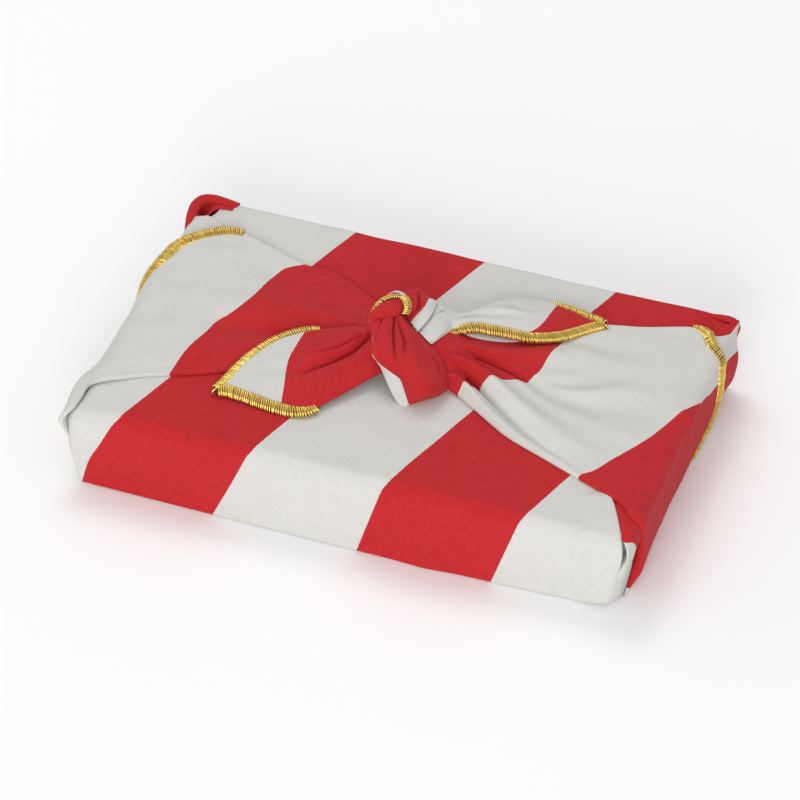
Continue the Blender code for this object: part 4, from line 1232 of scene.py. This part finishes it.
def ringed(centre, first, second, sides):
    """A ring of points round each centre, out to two vectors."""
    turn = (np.arange(sides) / sides * math.tau)[:, None]
    first, second = first[..., None, :], second[..., None, :]
    return centre[..., None, :] + np.cos(turn) * first + np.sin(turn) * second


def edging(name, points, faces, seed, width, grows_over, thinnest):
    """Gold thread sewn over and over across the edge, round a flat core that is painted in the
    darkest gold as the shade in the gaps between the stitches.
    """
    line, face, at = resampled(points, faces)
    run, wide, up = frames_along(line, face)
    draw = np.random.default_rng(seed)
    count = len(line)
    ends = np.minimum(np.arange(count) / grows_over, np.arange(count)[::-1] / EDGING_END)
    size = np.clip(thinnest + (1 - thinnest) * ends, 0, 1)
    half_wide = (width / 2 - STITCH_THREAD) * size * (1 + draw.normal(0, 0.035, count))
    half_high = EDGING_HEIGHT / 2 - STITCH_THREAD * 0.8
    half_high = half_high * size * (1 + draw.normal(0, 0.05, count))
    slant = STITCH_SLANT + draw.normal(0, 0.12, count)
    shift = draw.normal(0, 0.05, count)
    thread = STITCH_THREAD * (1 + draw.normal(0, 0.05, count))
    tone = draw.uniform(0.7, 1.0, count)

    arch = np.linspace(*STITCH_ARCH) * math.pi
    cos, sin = np.cos(arch), np.sin(arch)
    centre = (
        line[:, None]
        + wide[:, None] * (half_wide[:, None] * cos)[..., None]
        + up[:, None] * (half_high[:, None] * sin)[..., None]
        + run[:, None] * (slant[:, None] * cos + shift[:, None])[..., None]
    )
    outward = wide[:, None] * cos[:, None] + up[:, None] * (sin * 1.2)[:, None]
    outward /= np.linalg.norm(outward, axis=2, keepdims=True)
    along = np.gradient(centre, axis=1)
    along /= np.linalg.norm(along, axis=2, keepdims=True)
    thick = thread[:, None, None]
    stitches = ringed(centre, thick * outward, thick * np.cross(along, outward), THREAD_SIDES)
    core_wide = wide * (half_wide * CORE_WIDTH)[:, None]
    core = ringed(line, core_wide, up * (half_high * CORE_HEIGHT)[:, None], CORE_SIDES)

    each = len(arch) * THREAD_SIDES
    sewn = count * each
    shape = stitches.shape[:3]
    u = np.broadcast_to(arc_lengths(centre[0], 0)[:, None], shape).ravel()
    u = np.concatenate([u, np.repeat(at, CORE_SIDES)])
    v = np.broadcast_to(np.arange(THREAD_SIDES) / THREAD_SIDES, shape).ravel()
    v = np.concatenate([v, np.tile(np.arange(CORE_SIDES) / CORE_SIDES, count)])
    # The core takes no tone: it is painted in the darkest gold, as the shade in the gaps between the
    # stitches.
    tone = np.concatenate([np.repeat(tone, each), np.zeros(count * CORE_SIDES)])
    vertices = np.concatenate([stitches.reshape(-1, 3), core.reshape(-1, 3)]) * MM
    quads_and_caps = tube_faces(len(arch), THREAD_SIDES, range(0, sewn, each))
    quads_and_caps += tube_faces(count, CORE_SIDES, [sewn])
    mesh = bpy.data.meshes.new(name)
    mesh.from_pydata(vertices.tolist(), [], quads_and_caps)
    tones = mesh.attributes.new("stitch_tone_and_gap_shade", "FLOAT", "POINT")
    tones.data.foreach_set("value", tone.astype(np.float32))
    corners = values_of(mesh.loops, "vertex_index", kind=np.int32)
    uv = np.stack([u * MM, v], -1)[corners]
    return finish_sheet(piece_object(name, mesh, GOLD_THREAD, "thread", uv), 0, None)


def evened(values, reach):
    """A run of points or directions averaged over its near neighbours."""
    ends = np.repeat(values[:1], reach, 0), np.repeat(values[-1:], reach, 0)
    padded = np.concatenate([ends[0], values, ends[1]])
    return np.mean([padded[k : k + len(values)] for k in range(2 * reach + 1)], axis=0)


def flap_edging_line(side, table, edged_rows, proud, out, pulls=()):
    """Along a flap's back edge, and how the edging looks out from it: turned a little forwards."""
    number, rows = smooth_rows(table, 8)
    rows = rows[(number >= edged_rows[0]) & (number <= edged_rows[1])]
    run = np.gradient(rows[:, 2:4], axis=0)
    run /= np.linalg.norm(run, axis=1, keepdims=True)
    inward, y = (rows[:, 2:4] + np.stack([run[:, 1], -run[:, 0]], -1) * out).T
    lift = LAYER + rows[:, 6] + proud
    low, high = over_edge(side, inward, y, lift), over_edge(side, inward, y, lift + 1)
    return evened(pulled(low, pulls), 2), evened(high - low + np.array(FLAP_EDGING_TURN), 6)


def tail_edging_line(table, tip, edged_from):
    """Along a tail's first edge to its tip, and back along its second."""
    number, rows = smooth_rows(table, 5)
    out, back = rows[number >= edged_from[0]][:, 0:3], rows[number >= edged_from[1]][:, 3:6]
    points = np.concatenate([out, [tip], back[::-1]]) - np.array([0, 0, TAIL_EDGING_DROP])
    return points, np.tile(TAIL_EDGING_FACE, (len(points), 1))


def placed_edging_line(table):
    points = smooth_rows(table, 5)[1]
    return points[:, :3], points[:, 3:]


# --- the pieces ---

COTTON = cotton_material()
GOLD_THREAD = gold_material()

cloth = [
    panel(),
    flap(
        "left_flap", -1, LEFT_FLAP, red_past(LEFT_FLAP_STRIPE), 11, LEFT_FLAP_FOLDS,
        LEFT_FLAP_CREASES, EAR_PULLS + LEFT_EDGE_PULLS,
    ),
    flap("right_flap", 1, RIGHT_FLAP, right_flap_stripes, 12, RIGHT_FLAP_FOLDS, RIGHT_FLAP_CREASES),
    flap(
        "left_under_layer", -1, LEFT_UNDER_LAYER, all_white, 13,
        pulls=LEFT_EDGE_PULLS + POCKET_PULL, steps=6, columns=60,
    ),
    flap(
        "right_under_layer", 1, RIGHT_UNDER_LAYER, red_past(RIGHT_UNDER_STRIPE), 14,
        steps=6, columns=50,
    ),
    strand("knot_core", KNOT_CORE, RED_START),
    strand("knot_band", KNOT_BAND, RED_START),
    strand("knot_bight", KNOT_BIGHT, RED_START),
    strand("right_tail_under", RIGHT_TAIL_UNDER, WHITE_START),
    strand("back_left_pocket", BACK_LEFT_RIM, RED_START),
    strand("back_right_ear", BACK_RIGHT_EAR, RED_START),
    tail(
        "left_tail", LEFT_TAIL, LEFT_TAIL_TIP, red_past(LEFT_TAIL_STRIPE), 21,
        LEFT_TAIL_FOLDS, LEFT_TAIL_CREASES,
    ),
    tail(
        "right_tail", RIGHT_TAIL, RIGHT_TAIL_TIP, red_past(RIGHT_TAIL_STRIPE), 22,
        RIGHT_TAIL_FOLDS, RIGHT_TAIL_CREASES,
    ),
    net_sheet(
        "knot_wrap", KNOT_WRAP, RED_START, (0, -0.5, 1), WRAP_FOLDS, WRAP_PLEATS,
        [("first column", 0.7), ("last column", 0.6), ("first row", 0.6)], fill=(12, 16),
    ),
    net_sheet(
        "knot_facet", KNOT_FACET, WHITE_START, (-1, -0.5, 0.5), hems=[("first column", 0.5)],
        fill=(8, 10),
    ),
    net_sheet(
        "knot_lobe", KNOT_LOBE, RED_START, creases=LOBE_CREASES,
        hems=[("first row", 0.7), ("last row", 0.5)], fill=(14, 10),
    ),
    net_sheet(
        "knot_first_strip", KNOT_FIRST_STRIP, WHITE_START, hems=[("last row", 0.5)], fill=(12, 10)
    ),
    net_sheet(
        "knot_second_strip", KNOT_SECOND_STRIP, WHITE_START, creases=STRIP_CREASES,
        hems=[("last row", 0.5)], fill=(14, 10),
    ),
    net_sheet("knot_sliver", KNOT_SLIVER, WHITE_START, fill=(6, 8)),
    net_sheet(
        "front_right_fold", FRONT_RIGHT_FOLD, WHITE_START, (0, -1, 1),
        hems=[("first column", 0.9)], fill=(6, 16),
    ),
    net_sheet(
        "front_right_gusset", FRONT_RIGHT_GUSSET, toward=(1, 0, 0.3), stripes=gusset_stripes,
        fill=(6, 16), pulls=FRONT_RIGHT_PULLS,
    ),
    net_sheet("pocket_lining", POCKET_LINING, RED_START),
]

# The runs of gold: the width, over how many stitches the start grows, how thin the ends are against
# the full width, and the line. The right flap's grows from a thin end at the parcel's foot.
GoldRun = namedtuple("GoldRun", "width grows_over thinnest line")
GOLD_RUNS = {
    "left_flap": GoldRun(
        5.8, 5, 0.7, flap_edging_line(-1, LEFT_FLAP, LEFT_EDGED_ROWS, 0.1, 1.6, LEFT_EDGE_PULLS)
    ),
    "right_flap": GoldRun(
        5.2, 44, 0.3, flap_edging_line(1, RIGHT_FLAP, RIGHT_EDGED_ROWS, 0.2, 0.6)
    ),
    "left_tail": GoldRun(
        5.6, 5, 0.7, tail_edging_line(LEFT_TAIL, LEFT_TAIL_TIP, LEFT_TAIL_EDGED_FROM)
    ),
    "right_tail": GoldRun(
        5.2, 5, 0.7, tail_edging_line(RIGHT_TAIL, RIGHT_TAIL_TIP, RIGHT_TAIL_EDGED_FROM)
    ),
    "knot": GoldRun(3.0, 5, 0.7, placed_edging_line(KNOT_EDGING)),
    "knot_bunch": GoldRun(4.4, 5, 0.7, placed_edging_line(KNOT_EDGING_BUNCH)),
}
for seed, (place, run) in enumerate(GOLD_RUNS.items(), 40):
    piece = edging("gold_" + place, *run.line, seed, run.width, run.grows_over, run.thinnest)
    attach(piece, "root")
    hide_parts("edging_" + place.replace("_bunch", ""))

# A Stretch holds a piece's form as flat cloth, across and along its stretch, in millimetres:
# all are stretches of one 500 mm square. No piece is given one here; each is attached to the
# root, and the part's own cloth is hidden.
Stretch = namedtuple("Stretch", "across along held rests_on area", defaults=(None,))
for piece in cloth:
    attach(piece, "root")
    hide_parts("cloth")


# --- the floor, the light and the camera ---

FLOOR_SIZE = 6.0
FLOOR_COLOUR, FLOOR_GRAIN = (0.92, 0.92, 0.92, 1), (0.95, 0.95, 0.95, 1)
bpy.ops.mesh.primitive_plane_add(size=FLOOR_SIZE, location=(0, 0, 0))
floor = bpy.context.active_object
floor.name = "floor"
floor_material, floor_tree, floor_shader = new_material("pale_floor")
grain = noise_node(floor_tree, node(floor_tree, "TexCoord")["Object"], 3.0)
feed(floor_tree, floor_shader, {
    "Base Color": mixed(floor_tree, grain, FLOOR_COLOUR, FLOOR_GRAIN),
    "Roughness": 0.9,
})
floor.data.materials.append(floor_material)

world = bpy.data.worlds.new("studio")
bpy.context.scene.world = world
world.use_nodes = True
sky = world.node_tree.nodes["Background"].inputs
feed(world.node_tree, sky, {"Color": (1.0, 1.0, 1.0, 1), "Strength": 0.66})


def softbox(name, place, aim, size, power):
    light = bpy.data.lights.new(name, "AREA")
    light.shape = "SQUARE"
    light.size = size
    light.energy = power
    lamp = bpy.data.objects.new(name, light)
    bpy.context.scene.collection.objects.link(lamp)
    lamp.location = place
    lamp.rotation_euler = (Vector(aim) - Vector(place)).to_track_quat("-Z", "Y").to_euler()


softbox("overhead", (-0.35, 0.55, 1.2), (0, 0, 0.03), 0.6, 4.6)
softbox("front", (0.35, -1.9, 0.75), (0, 0, 0.03), 1.0, 22.0)

CAMERA_PLACE = Vector((0.53940, -1.48416, 1.38590))
LOOK = Vector((-0.25929217, 0.70978268, -0.65496269))
UP = Vector((-0.22472241, 0.615204, 0.75566122))
camera = bpy.data.objects.new("camera", bpy.data.cameras.new("camera"))
bpy.context.scene.collection.objects.link(camera)
camera.data.lens = 225
camera.data.sensor_width = 36
camera.data.clip_end = 20
right = LOOK.cross(UP)
camera.matrix_world = Matrix(
    [
        (right.x, UP.x, -LOOK.x, CAMERA_PLACE.x),
        (right.y, UP.y, -LOOK.y, CAMERA_PLACE.y),
        (right.z, UP.z, -LOOK.z, CAMERA_PLACE.z),
        (0, 0, 0, 1),
    ]
)
bpy.context.scene.camera = camera
bpy.context.scene.view_settings.view_transform = "Standard"
